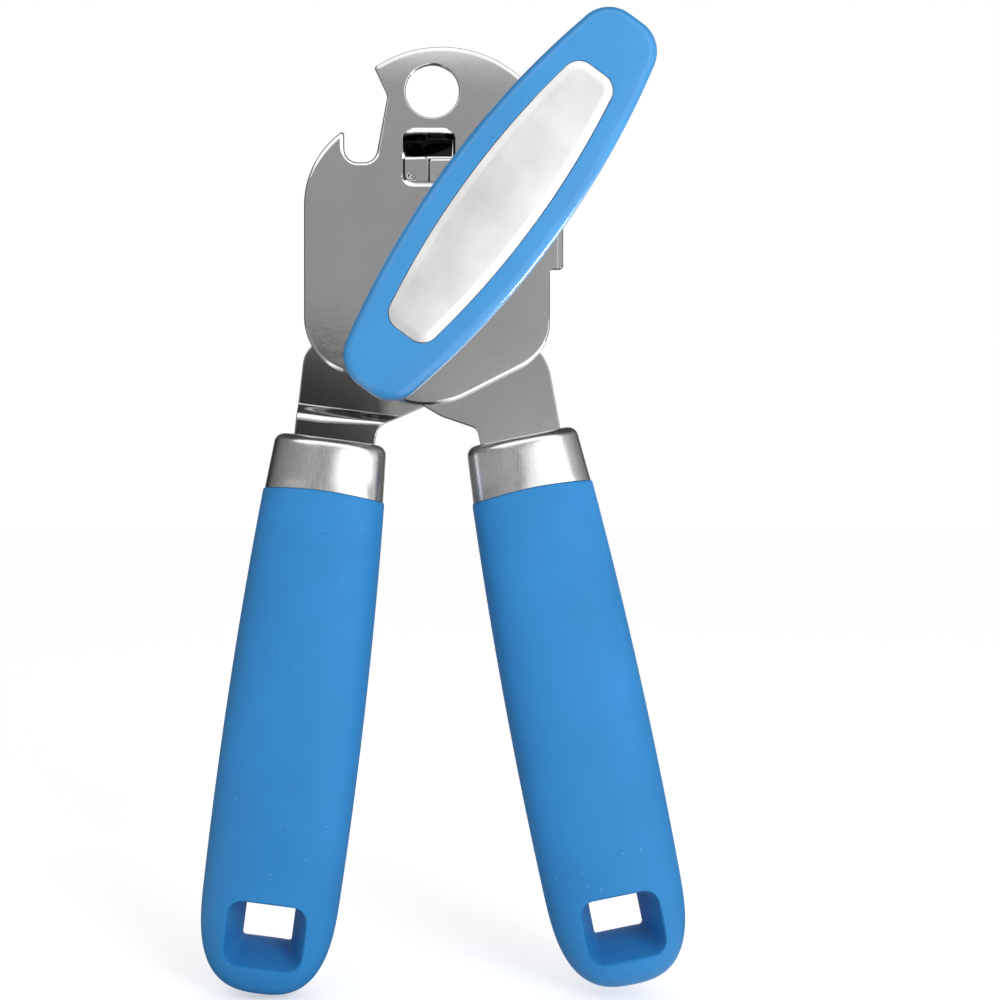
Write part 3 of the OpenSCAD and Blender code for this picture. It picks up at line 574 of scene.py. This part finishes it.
def joggle(p):
    """Drop of the left arm's face below the right arm's level: it steps back above the handle."""
    rel = p - np.array(LEFT_JOINT)
    a = math.radians(-LEFT_TURN)
    up = rel[:, 0] * math.sin(a) + rel[:, 1] * math.cos(a)
    across = rel[:, 0] * math.cos(a) - rel[:, 1] * math.sin(a)
    foot = 15.1 + 0.09 * np.clip(across + 3, 0, 12)
    t = np.clip((up - foot) / (JOGGLE_TOP - foot), 0, 1)
    step_back = (LEVER_FRONT - FIXED_FRONT) * t ** 2.2 * (1 + 1.2 * (1 - t))
    lean = (0.0193 * (np.clip(up, 17, 31) - 31) + 0.008 * (np.clip(up, 3, 17) - 17)
            + 0.012 * (across - 9) * np.clip(up / 8, 0, 1))
    slit = 1.5 * np.clip(SLIT_EDGE - p[:, 0], 0, 0.42) / 0.42 * smooth(p[:, 1], -25.5, -24.5)
    return step_back - lean + slit


def arm_rim(p):
    """Narrow edges, with a broader roll along the top edge in the window."""
    top = smooth(p[:, 1], ARM_TOP - 0.7, ARM_TOP - 0.15)
    return 0.25 + 0.5 * top, np.tan(np.radians(34 - 17 * top)), top > 2, 0.14


levels = [*np.arange(14.5, 19.2, 0.2), 12, 13, 14, 18.6, 18.72, 19.6, 20.4]
bend_points = [np.array(LEFT_JOINT) + turned((x, up), LEFT_TURN) for up in levels for x in np.arange(-10, 18, 0.9)]
slit_points = [(SLIT_EDGE + dx, y) for dx in (0.03, -0.01, -0.05, -0.09, -0.2) for y in np.arange(-24, -13.4, 0.4)]
fixed_arm = pressed("left_arm", "head", [fixed_outline(), circle(*PIVOT, RIVET_HOLE_R),
                                         circle(*SHAFT, BUSHING_HOLE_R), *tang_holes(LEFT_JOINT, LEFT_TURN)],
                    [arm_rim] + [HOLE_RIM] * 4, LEVER_FRONT, ARM_T, crown=joggle, follow=True,
                    more=bend_points + slit_points)
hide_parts("fixed_arm")


def dimple(p):
    """Small pressed mark of the right arm, seen in the window."""
    q = p - np.array(DIMPLE)
    d = np.hypot((q[:, 0] * 0.88 - q[:, 1] * 0.47) / 1.1, (q[:, 0] * 0.47 + q[:, 1] * 0.88) / 0.75)
    return 0.5 * (1 - smooth(d, 0.3, 1.0))


lever_arm = pressed("right_arm", "lever", [lever_outline(), circle(*PIVOT, 4.1), circle(*CUTTER, 2.52),
                                           *tang_holes(RIGHT_JOINT, RIGHT_TURN)],
                    [arm_rim] + [HOLE_RIM] * 4, LEVER_FRONT, ARM_T,
                    crown=dimple, more=np.vstack([circle(*DIMPLE, r, 20) for r in np.arange(0.08, 1.4, 0.1)]))
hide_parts("lever_arm")

# ---- key ----

def lozenge(l, w, end_w, end_r):
    """Long outline with bowed sides and rounded ends."""
    rise, run = (w - end_w) / 2, l / 2 - end_r
    side_r = (run * run + rise * rise) / (2 * rise)
    lean = math.asin(run / side_r)
    tip = w / 2 + side_r * (1 / math.cos(lean) - 1)
    end_y = tip - l / 2 * math.tan(lean)
    return rounded([(l / 2, end_y, end_r), (0, tip, side_r * 0.98), (-l / 2, end_y, end_r),
                    (-l / 2, -end_y, end_r), (0, -tip, side_r * 0.98), (l / 2, -end_y, end_r)], 48)


KEY_PLACE = (SHAFT, KEY_TURN, 0)


def bowed(across):
    """Crown of the key: the drop across at its sides, and a shared one at its ends."""
    return lambda p: across * (p[:, 1] / (KEY_W / 2)) ** 2 + 0.35 * (p[:, 0] / (KEY_L / 2)) ** 2


POCKET_GAP = 0.3
key_edge = lozenge(KEY_L, KEY_W, KEY_END_W, 7)
key_pocket = lozenge(INLAY_L + POCKET_GAP, INLAY_W + POCKET_GAP, INLAY_END_W + POCKET_GAP, 3.75)
key = pressed("turning_key", "key", [key_edge, key_pocket], [(1.8, 0, 0), (0.2, 35, 0.05)],
              KEY_FRONT, 3, spacing=0.5, crown=bowed(0.5), place=KEY_PLACE)
edge, pocket = evenly(key_edge, 0.5), evenly(key_pocket, 0.5)
inward = inward_normals(edge, [edge])
key_sides = ((0.06, KEY_FRONT - 2.6), (0.02, KEY_FRONT - 2.95), (0, KEY_FRONT - 3.1), (0, KEY_BACK + 1.2),
             (0.08, KEY_BACK + 0.75), (0.3, KEY_BACK + 0.35), (0.75, KEY_BACK + 0.08), (1.2, KEY_BACK))
rings = [at_height(edge + inward * inset, z) for inset, z in key_sides]
key_lower = soften(put("key_lower", *lofted(rings, (False, True)), "key", KEY_PLACE))
rings = [at_height(pocket, KEY_FRONT - drop) for drop in (1.7, 1.75)]
key_floor = put("key_floor", *lofted(rings), "key", KEY_PLACE)
rings = [at_height(circle(0, 0, r), z) for r, z in ((7.7, 1.9), (8, 2.2), (8, 7.6))]
hub = soften(put("key_hub", *lofted(rings), "key", KEY_PLACE))
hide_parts("key_body")
for piece in (key, key_lower, key_floor, hub):
    piece.visible_glossy = False  # the steel round the key shows no blue

inlay = pressed("key_inlay_plate", "key", [lozenge(INLAY_L, INLAY_W, INLAY_END_W, 3.6)], [(2.0, 9.5, 0.06)],
                KEY_FRONT + 0.45, 2.05, spacing=0.4, crown=bowed(0.7), place=KEY_PLACE)
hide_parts("key_inlay")


# ---- handles ----

def swell(top, belly, s):
    """Half a grip's width or depth, at s below its top."""
    return (belly - (belly - top) * (1 - s / GRIP_BELLY) ** 2) / 2


def end_round(s):
    """Share of the section that is left where the grip's end rounds off."""
    k = max(0, s - GRIP_L + 21.5) / 21.5
    return max(1 - k ** 2.9, 1e-6) ** (1 / 2.9)


def half_w(s):
    return swell(GRIP_TOP_W, GRIP_MAX_W, s) * end_round(s)


def half_d(s):
    return swell(GRIP_TOP_D, GRIP_MAX_D, s) * end_round(s)


def power(v, e):
    """Power of the value's size, with its sign kept."""
    return math.copysign(abs(v) ** e, v)


def section_angles(n):
    """Angles spaced so that the points lie about evenly round the flattened oval."""
    fine = np.linspace(0, 2 * math.pi, 4001)
    x = 1.6 * np.sign(np.sin(fine)) * np.abs(np.sin(fine)) ** (2 / OVAL)
    z = np.sign(np.cos(fine)) * np.abs(np.cos(fine)) ** (2 / OVAL)
    run = np.concatenate([[0], np.cumsum(np.hypot(np.diff(x), np.diff(z)))])
    return np.interp(np.linspace(0, run[-1], n, endpoint=False), run, fine)


ANGLES = section_angles(112)


def ring(w, d, y, arch=0.0, oval=OVAL):
    """Flattened oval section of half width w and half depth d; arch lifts its middle."""
    out = []
    for a in ANGLES:
        x, z = w * power(math.sin(a), 2 / oval), d * power(math.cos(a), 2 / oval)
        out.append((x, y + arch * (1 - (x / max(w, 1e-6)) ** 2), z))
    return out


def grip_front(x, s):
    """Height of the grip's front face over the handle's middle plane."""
    w, d = half_w(s), half_d(s)
    return d * max(0.0, 1 - min(abs(x) / w, 1) ** OVAL) ** (1 / OVAL)


def slot_ring(w, h, r, level):
    """Outline of the hang slot, at the height that level gives for each point."""
    centre = np.array([0, -(GRIP_L - SLOT_END)])
    pts = np.array(rounded(box_corners(w, h, r), 12)) + centre
    return [(p[0], p[1], level(p)) for p in pts]


def grip(name, body, joint, turn, node):
    """A soft grip, with its hang slot cut by a tapered tool."""
    place = (joint, turn, HANDLE_Z)
    stops = [0.0, 0.12, 0.35, 0.8, 1.6, 2.6, 4]
    stops += list(np.linspace(4, GRIP_L - 24, 34)[1:])
    stops += [GRIP_L - 24 * (1 - math.sin(math.pi / 2 * t)) for t in np.linspace(0, 1, 40)[1:-1]]
    stops += [GRIP_L - 0.012, GRIP_L - 0.0005]
    rings = []
    for s in sorted(stops):
        ease = 0.22 * max(0, 1 - s / 0.35) ** 2
        rings.append(ring(half_w(s) - ease, half_d(s) - ease, -s, max(0, 1 - s / 4)))
    g = put(name, *lofted(rings), body, place)
    cutter = [slot_ring(SLOT_W + 2.6, SLOT_H + 2.6, 4.3, lambda p: 14.0)]
    for flare, rise in ((0.95, 0.62), (0.6, 0.22), (0.32, -0.12), (0.12, -0.5), (0.0, -1.0)):
        cutter.append(slot_ring(SLOT_W + 2 * flare, SLOT_H + 2 * flare, 3.0 + flare,
                                lambda p, r=rise: grip_front(p[0], -p[1]) + r))
    for k, z in ((0.12, 5.0), (0.45, 1.5), (0.75, -2.6), (1, -5.7), (0.7, -12)):
        cutter.append(slot_ring(SLOT_W - 5.5 * k, SLOT_H - 5.5 * k, 3.0 - 2.2 * k, lambda p, z=z: z))
    tool = put(name + "_slot", *lofted(cutter), None, place)
    carve(g, tool)
    soften(g, 34)
    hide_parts(node)
    return g


left_grip = grip("left_soft_grip", "head", LEFT_JOINT, LEFT_TURN, "left_grip")
right_grip = grip("right_soft_grip", "lever", RIGHT_JOINT, RIGHT_TURN, "right_grip")


def ferrule(name, body, joint, turn, node, neck_x):
    """A rounded collar with a slot in its top for the arm's neck."""
    place = (joint, turn, HANDLE_Z)
    w0, d0 = GRIP_TOP_W / 2 - 0.25, GRIP_TOP_D / 2 - 0.25
    rings = []

    def add(y, inset, arch=0.0):
        w = w0 - (0.85 * y / FERRULE_L + inset)
        d = d0 - inset - 0.1 * (1 - y / FERRULE_L) ** 2
        rings.append(ring(w, d, y, arch, OVAL - 0.3 * min(1, max(0, y / 3))))

    add(0.06, 0.75, 1.0)
    add(0.06, 0.06, 1.0)
    add(0.12, 0, 1.0)
    add(0.42, 0, 1.0)
    for y in (1.5, 3, 5, 7, 9):
        add(y, 0, max(0, 1 - y / 4))
    for i in range(10):
        a = math.pi / 2 * i / 9
        add(FERRULE_L - FERRULE_ROUND + FERRULE_ROUND * math.sin(a), FERRULE_ROUND * (1 - math.cos(a)))
    points, faces = lofted(rings, (False, False))
    top = np.array([(p[0], p[2]) for p in rings[-1]])
    n, base = len(top), len(points) - len(top)
    slot = [(neck_x + x, z) for x, z in ((-8.8, -1.2), (8.8, -1.2), (8.8, 1.2), (-8.8, 1.2))]
    slot_at = len(points)
    points += [(x, FERRULE_L, z) for x, z in slot]
    deep_at = len(points)
    points += [(x, FERRULE_L - 0.8, z) for x, z in slot]
    hole = np.array(slot)
    edges = [(i, (i + 1) % n) for i in range(n)] + [(n + i, n + (i + 1) % 4) for i in range(4)]
    v, tris, origin = triangulated(np.vstack([top, hole]), edges)
    for t in tris:
        if in_sheet(v[list(t)].mean(0)[None, :], [top, hole])[0]:
            faces.append(tuple((base if origin[i] < n else slot_at - n) + origin[i] for i in t))
    faces += [(slot_at + i, slot_at + (i + 1) % 4, deep_at + (i + 1) % 4, deep_at + i) for i in range(4)]
    f = soften(put(name, points, faces, body, place), 40)
    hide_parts(node)
    return f


left_ferrule = ferrule("left_collar", "head", LEFT_JOINT, LEFT_TURN, "left_ferrule", 0.7)
right_ferrule = ferrule("right_collar", "lever", RIGHT_JOINT, RIGHT_TURN, "right_ferrule", -0.2)


# ---- CAD pieces that are shown as they are, with their edges eased ----

def smooth_group():
    """Geometry nodes that shade smooth, apart from edges sharper than 32 degrees."""
    group = bpy.data.node_groups.new("smooth_by_angle", "GeometryNodeTree")
    group.interface.new_socket("Geometry", in_out="INPUT", socket_type="NodeSocketGeometry")
    group.interface.new_socket("Geometry", in_out="OUTPUT", socket_type="NodeSocketGeometry")
    n, l = group.nodes, group.links
    start, end = n.new("NodeGroupInput"), n.new("NodeGroupOutput")
    angle = n.new("GeometryNodeInputMeshEdgeAngle")
    less = n.new("FunctionNodeCompare")
    less.operation = "LESS_THAN"
    less.inputs[1].default_value = math.radians(32)
    face, edge = n.new("GeometryNodeSetShadeSmooth"), n.new("GeometryNodeSetShadeSmooth")
    edge.domain = "EDGE"
    l.new(start.outputs[0], face.inputs["Geometry"])
    l.new(face.outputs["Geometry"], edge.inputs["Geometry"])
    l.new(angle.outputs[0], less.inputs[0])
    l.new(less.outputs[0], edge.inputs["Shade Smooth"])
    l.new(edge.outputs["Geometry"], end.inputs[0])
    return group


SMOOTH = smooth_group()
REPLACED = ("front_plate", "fixed_arm", "lever_arm", "key_body", "key_inlay", "left_grip", "right_grip",
            "left_ferrule", "right_ferrule")
shown_as_is = [(name, node) for name, node in frame["nodes"].items() if name not in REPLACED]
for name, node in shown_as_is:
    node.modifiers.new("weld", "WELD").merge_threshold = 1e-5
    bevel = node.modifiers.new("edge", "BEVEL")
    bevel.width = 0.00012
    bevel.segments = 3
    bevel.limit_method = "ANGLE"
    bevel.angle_limit = math.radians(32)
    bevel.harden_normals = False
    node.modifiers.new("smooth", "NODES").node_group = SMOOTH
    node.modifiers.new("even", "WEIGHTED_NORMAL").keep_sharp = True


# ---- materials ----

class Shading:
    """Short calls that make and link the nodes of a material or of the world."""

    def __init__(self, owner):
        owner.use_nodes = True
        self.nodes, self.links = owner.node_tree.nodes, owner.node_tree.links

    def feed(self, socket, value):
        if isinstance(value, bpy.types.NodeSocket):
            self.links.new(value, socket)
        else:
            socket.default_value = value

    def node(self, kind, *values, **settings):
        """A node with the given settings, whose first inputs take the values in order."""
        n = self.nodes.new("ShaderNode" + kind)
        for key, value in settings.items():
            setattr(n, key, value)
        for socket, value in zip(n.inputs, values):
            self.feed(socket, value)
        return n

    def math(self, operation, *values):
        return self.node("Math", *values, operation=operation).outputs[0]

    def spread(self, value, low, high, from_low=0.3, from_high=0.7, how="LINEAR"):
        """The value, carried from one range to another."""
        return self.node("MapRange", value, from_low, from_high, low, high,
                         interpolation_type=how).outputs["Result"]

    def step(self, value, low, high, to_low=0.0, to_high=1.0):
        """Soft step of a value between two levels."""
        return self.spread(value, to_low, to_high, low, high, "SMOOTHSTEP")

    def mix(self, share, a, b):
        n = self.node("Mix", share)
        self.feed(n.inputs[2], a)
        self.feed(n.inputs[3], b)
        return n.outputs[0]

    def mix_colour(self, share, a, b):
        n = self.node("Mix", share, data_type="RGBA")
        self.feed(n.inputs[6], a)
        self.feed(n.inputs[7], b)
        return n.outputs[2]

    def noise(self, place, scale, detail, rough):
        tex = self.node("TexNoise", place)
        for key, value in (("Scale", scale), ("Detail", detail), ("Roughness", rough)):
            tex.inputs[key].default_value = value
        return tex.outputs["Fac"]

    def tint(self, value, dark, light):
        ramp = self.node("ValToRGB", value)
        for stop, at, colour in zip(ramp.color_ramp.elements, (0.3, 0.7), (dark, light)):
            stop.position, stop.color = at, (*colour, 1)
        return ramp.outputs["Color"]

    def bump(self, height, shader, strength, distance):
        b = self.node("Bump")
        for key, value in (("Strength", strength), ("Distance", distance), ("Height", height)):
            self.feed(b.inputs[key], value)
        self.links.new(b.outputs["Normal"], shader.inputs["Normal"])


def material(name, base, metallic, roughness, **more):
    """A new material, its nodes, its shader and the object coordinates."""
    m = bpy.data.materials.new(name)
    g = Shading(m)
    shader = g.nodes["Principled BSDF"]
    for key, value in {"Base_Color": (*base, 1), "Metallic": metallic, "Roughness": roughness, **more}.items():
        shader.inputs[key.replace("_", " ")].default_value = value
    return m, g, shader, g.node("TexCoord").outputs["Object"]


def steel(name, base, roughness, grain=0.05, brushed=False, mottle=0.04, bump_by=0.15, metallic=1.0,
          ripple=0.0, painted_wall_shade_at=None, worn=None):
    """Satin steel: a fine grain and a faint cloudiness in colour and gloss.

    ripple adds coarser waves. Near the given point, what lies below the front face gets painted shade, as
    the shaded walls of an opening look dark. worn makes the face rougher by its third number from one X to the
    other.
    """
    m, g, shader, place = material(name, base, metallic, roughness)
    drawn = place
    if brushed:
        mapping = g.node("Mapping", place)
        mapping.inputs["Scale"].default_value = (1, 1, 0.12)
        drawn = mapping.outputs["Vector"]
    fine = g.noise(drawn, 5000, 3, 0.6)
    weight = mottle / grain
    cloudy = g.math("DIVIDE", g.math("MULTIPLY_ADD", g.noise(place, 90, 3, 0.5), weight, fine), 1 + weight)
    colour = g.tint(cloudy, [c * (1 - grain - mottle) for c in base],
                    [min(1, c * (1 + grain + mottle)) for c in base])
    # painted shade: the window's walls below the front face are coloured dark, as they look in shade
    if painted_wall_shade_at:
        away = g.node("VectorMath", place, painted_wall_shade_at, operation="DISTANCE").outputs["Value"]
        level = g.node("SeparateXYZ", place).outputs["Y"]
        wall = g.math("MULTIPLY", g.spread(away, 1, 0, 0.0072, 0.0078), g.spread(level, 0, 1, -0.0007, -0.0003))
        colour = g.mix_colour(wall, colour, (0.03, 0.03, 0.03, 1))
    gloss = g.spread(fine, roughness * 0.88, roughness * 1.12)
    if worn:
        across = g.node("SeparateXYZ", place).outputs["X"]
        gloss = g.math("ADD", gloss, g.spread(across, 0, worn[2], worn[0], worn[1]))
    g.feed(shader.inputs["Base Color"], colour)
    g.feed(shader.inputs["Roughness"], gloss)
    if ripple:
        fine = g.math("MULTIPLY_ADD", g.noise(place, 1100, 3, 0.55), ripple, fine)
    g.bump(fine, shader, bump_by, 0.00002)
    return m


def steel_with_painted_recess_shade(name, base, deep, roughness):
    """The plate's steel, with painted shade: darker towards the back of its recess."""
    m, g, shader, place = material(name, base, 1.0, roughness)
    fine = g.noise(place, 2600, 3, 0.6)
    depth = g.math("MULTIPLY_ADD", fine, 0.0003, g.node("SeparateXYZ", place).outputs["Y"])
    # painted shade: the colour darkens towards the back, where the recess lies in shade
    g.feed(shader.inputs["Base Color"], g.tint(g.spread(depth, 0.3, 0.7, -0.0005, 0.0004), base, deep))
    g.bump(fine, shader, 0.15, 0.00002)
    return m


def soft_plastic(name, base, roughness, specks=False, **more):
    """Matte soft-touch plastic with a fine grain, and on request a few pale specks."""
    m, g, shader, place = material(name, base, 0.0, roughness, Specular_IOR_Level=0.4, **more)
    grain = g.noise(place, 3200, 3, 0.6)
    colour = g.tint(g.noise(place, 60, 2, 0.5), [c * 0.94 for c in base], [min(1, c * 1.06) for c in base])
    if specks:
        dots = g.node("TexVoronoi", place)
        dots.inputs["Scale"].default_value = 260
        near = g.spread(dots.outputs["Distance"], 0.55, 0.0, 0.02, 0.05)
        colour = g.mix_colour(near, colour, (*(min(1, c * 0.6 + 0.35) for c in base), 1))
    g.feed(shader.inputs["Base Color"], colour)
    g.feed(shader.inputs["Roughness"], g.spread(grain, roughness * 0.9, min(1, roughness * 1.1)))
    g.bump(grain, shader, 0.25, 0.00003)
    return m


GREY = (0.62, 0.62, 0.62)
MATERIALS = {
    # the plate's steel carries painted shade on the walls of its window
    "plate_steel": steel("plate_steel", GREY, 0.11, ripple=3.0,
                         painted_wall_shade_at=(WINDOW[0] * MM, -0.0002, WINDOW[1] * MM + 0.0009)),
    # the guide tab's steel, with painted shade towards the back of the window
    "tab_steel_painted_shade": steel_with_painted_recess_shade("tab_steel_painted_shade", GREY, (0.06, 0.06, 0.06), 0.11),
    "arm_steel": steel("arm_steel", GREY, 0.09),
    "worn_steel": steel("worn_steel", GREY, 0.09, worn=(-0.0115, -0.0085, 0.1)),
    "bright_steel": steel("bright_steel", (0.78, 0.78, 0.79), 0.14, grain=0.02, mottle=0.02),
    "tool_steel": steel("tool_steel", (0.55, 0.55, 0.56), 0.28),
    "ferrule_steel": steel("ferrule_steel", (0.72, 0.72, 0.72), 0.25, grain=0.07, brushed=True, bump_by=0.08),
    "inlay_steel": steel("inlay_steel", (0.73, 0.73, 0.725), 0.36, grain=0.03, mottle=0.11, metallic=0.62),
    "grip_blue": soft_plastic("grip_blue", (0.020, 0.205, 0.500), 0.52, specks=True),
    "key_blue": soft_plastic("key_blue", (0.036, 0.245, 0.55), 0.36, Coat_Weight=0.5, Coat_Roughness=0.12),
    "core_plastic": soft_plastic("core_plastic", (0.12, 0.12, 0.13), 0.5),
}


def wear(obj, slot, look=None):
    """Dresses the piece in the slot's material, or in another look of it."""
    obj.data.materials.clear()
    obj.data.materials.append(MATERIALS[look or slot])


wear(tab, "plate_steel", "tab_steel_painted_shade")
wear(fixed_arm, "arm_steel", "worn_steel")
for slot, pieces in (("plate_steel", (plate, guard_web)), ("arm_steel", (lever_arm,)),
                     ("key_blue", (key, key_lower, key_floor, hub)), ("inlay_steel", (inlay,)),
                     ("grip_blue", (left_grip, right_grip)),
                     ("ferrule_steel", (left_ferrule, right_ferrule))):
    for piece in pieces:
        wear(piece, slot)
slots = {s["node"]: s["material_slot"] for s in frame["record"]["subparts"]}
for name, node in shown_as_is:
    for s in node.material_slots:
        s.material = MATERIALS[slots[name]]


# ---- floor, world, lamps and camera ----

def floor_material():
    """A pale floor, lightened for the camera; for glossy rays it glows in zones of painted light and shade that
    the metal mirrors.
    """
    m, g, shader, place = material("floor", (0.86, 0.86, 0.86), 0.0, 0.9)
    path = g.node("LightPath").outputs
    glow = g.node("Emission", (1, 1, 1, 1), g.math("MULTIPLY", path["Is Camera Ray"], 0.43))
    seen = g.node("AddShader", shader.outputs[0], glow.outputs[0])
    x, y, _ = g.node("SeparateXYZ", place).outputs
    # painted reflection, glowing for glossy rays, from left to right: grey, a pale card, dark under the object,
    # then white; dark grey behind it
    zones = g.node("ValToRGB", g.spread(x, 0, 1, -0.6, 0.6))
    ramp = zones.color_ramp
    ramp.elements[0].color = (0.22, 0.22, 0.22, 1)
    ramp.elements[1].color = (1, 1, 1, 1)
    for at, level in ((0.358, 0.22), (0.383, 0.8), (0.408, 0.8), (0.421, 0.02), (0.51, 0.02), (0.545, 1.0)):
        ramp.elements.new(at).color = (level, level, level, 1)
    behind = g.spread(g.math("MULTIPLY_ADD", x, 0.2, y), 0, 1, -0.01, 0.05)
    shade = g.mix_colour(behind, zones.outputs["Color"], (0.09, 0.09, 0.09, 1))
    painted_reflection_glow = g.node("Emission", shade, 1.9)
    surface = g.node("MixShader", path["Is Glossy Ray"], seen.outputs[0], painted_reflection_glow.outputs[0])
    g.feed(g.nodes["Material Output"].inputs["Surface"], surface.outputs[0])
    return m


bpy.ops.mesh.primitive_plane_add(size=6, location=(0, 0, -0.1905))
floor = bpy.context.object
floor.name = "floor"
floor.data.materials.append(floor_material())


def cosd(degrees):
    return math.cos(math.radians(degrees))


# The room round the object: grey ahead of it, soft white panels to the right and above, a dark
# surround below and to the left, and the white backdrop behind
world = bpy.data.worlds.new("studio")
bpy.context.scene.world = world
room = Shading(world)
direction = room.node("TexCoord").outputs["Generated"]
x, y, z = room.node("SeparateXYZ", direction).outputs
front = room.math("MULTIPLY", y, -1.0)
off_axis = room.math("SQRT", room.math("MAXIMUM", room.math("SUBTRACT", 1.0, room.math("MULTIPLY", y, y)), 1e-4))
rightward = room.math("DIVIDE", x, off_axis)
upward = room.math("DIVIDE", z, off_axis)


def by_angle(*stops):
    """Level that changes softly with the angle from straight ahead, from (degrees, level) stops."""
    level = stops[0][1]
    for (a0, v0), (a1, v1) in zip(stops, stops[1:]):
        level = room.math("ADD", level, room.step(front, cosd(a1), cosd(a0), v1 - v0, 0.0))
    return level


def dark_patch(right, up, inner, outer, level):
    """Soft-edged round patch at the given angles right of and above straight ahead."""
    aim = Vector((math.tan(math.radians(right)), -1, math.tan(math.radians(up)))).normalized()
    near = room.node("VectorMath", direction, aim, operation="DOT_PRODUCT").outputs["Value"]
    return room.step(near, cosd(outer), cosd(inner), 1.0, level)


far_right = ((56, 1.9), (66, 0.62), (82, 0.55), (100, 0.34), (120, 0.26), (145, 0.04))
bright = by_angle((8, 0.44), (15, 1.9), *far_right)
bright_low = by_angle((0, 1.9), *far_right)
above = by_angle((14, 0.44), (20, 0.62), (28, 1.05), (36, 1.5), (60, 1.8), (70, 0.06))
dim = by_angle((10, 0.44), (35, 0.34), (75, 0.26), (100, 0.18), (113, 0.1), (128, 0.03))
below = by_angle((6, 0.44), (22, 0.1), (60, 0.03))
level = room.mix(room.step(upward, 0.35, 0.8), bright, above)
lit_side = room.math("ADD", room.math("MULTIPLY", rightward, 0.75), room.math("MULTIPLY", upward, 0.66))
dim = room.mix(room.step(upward, -0.75, -0.3), below, dim)
level = room.mix(room.step(lit_side, -0.36, -0.14), dim, level)
ahead = room.math("MAXIMUM", front, 0.05)
low_right = room.math("MULTIPLY", room.step(room.math("DIVIDE", x, ahead), 0.055, 0.1),
                      room.step(room.math("DIVIDE", z, ahead), -0.01, 0.02, 1.0, 0.0))
level = room.mix(low_right, level, bright_low)
level = room.math("MULTIPLY", level, dark_patch(-5.5, -2, 4, 6.6, 0.04))
level = room.math("MAXIMUM", level, room.step(front, cosd(168), cosd(150), 1.0, 0.0))
path = room.node("LightPath").outputs
level = room.math("MAXIMUM", level, path["Is Camera Ray"])
level = room.mix(path["Is Diffuse Ray"], level, 0.62)
room.feed(room.nodes["Background"].inputs["Strength"], level)
room.nodes["Background"].inputs["Color"].default_value = (1, 1, 1, 1)


def lamp(name, at, target, size, power):
    """A rectangular lamp at a place, turned towards the target."""
    data = bpy.data.lights.new(name, "AREA")
    data.shape, data.size, data.size_y, data.energy = "RECTANGLE", size[0], size[1], power
    obj = bpy.data.objects.new(name, data)
    obj.location = at
    obj.rotation_euler = (Vector(target) - Vector(at)).to_track_quat("-Z", "Y").to_euler()
    bpy.context.scene.collection.objects.link(obj)
    return obj


key_light = lamp("key_light", (0.28, -0.55, 0.02), (0, 0, -0.09), (0.24, 0.5), 2.6)
key_light.visible_glossy = False  # the steel mirrors the room and the floor alone
edge_light = lamp("edge_light", (0.235, 0.08, -0.15), (0.02, 0, -0.02), (0.03, 0.06), 0.018)
edge_light.data.spread = math.radians(26)

camera_data = bpy.data.cameras.new("camera")
camera = bpy.data.objects.new("camera", camera_data)
bpy.context.scene.collection.objects.link(camera)
camera.location = (-0.00676, -0.340, -0.08156)
camera.rotation_euler = (math.pi / 2, 0, 0)
camera_data.sensor_width = 36
camera_data.lens = 58.3
camera_data.shift_x = 0.10
camera_data.shift_y = -0.02
camera_data.clip_start = 0.01
bpy.context.scene.camera = camera
bpy.context.scene.view_settings.view_transform = "Standard"
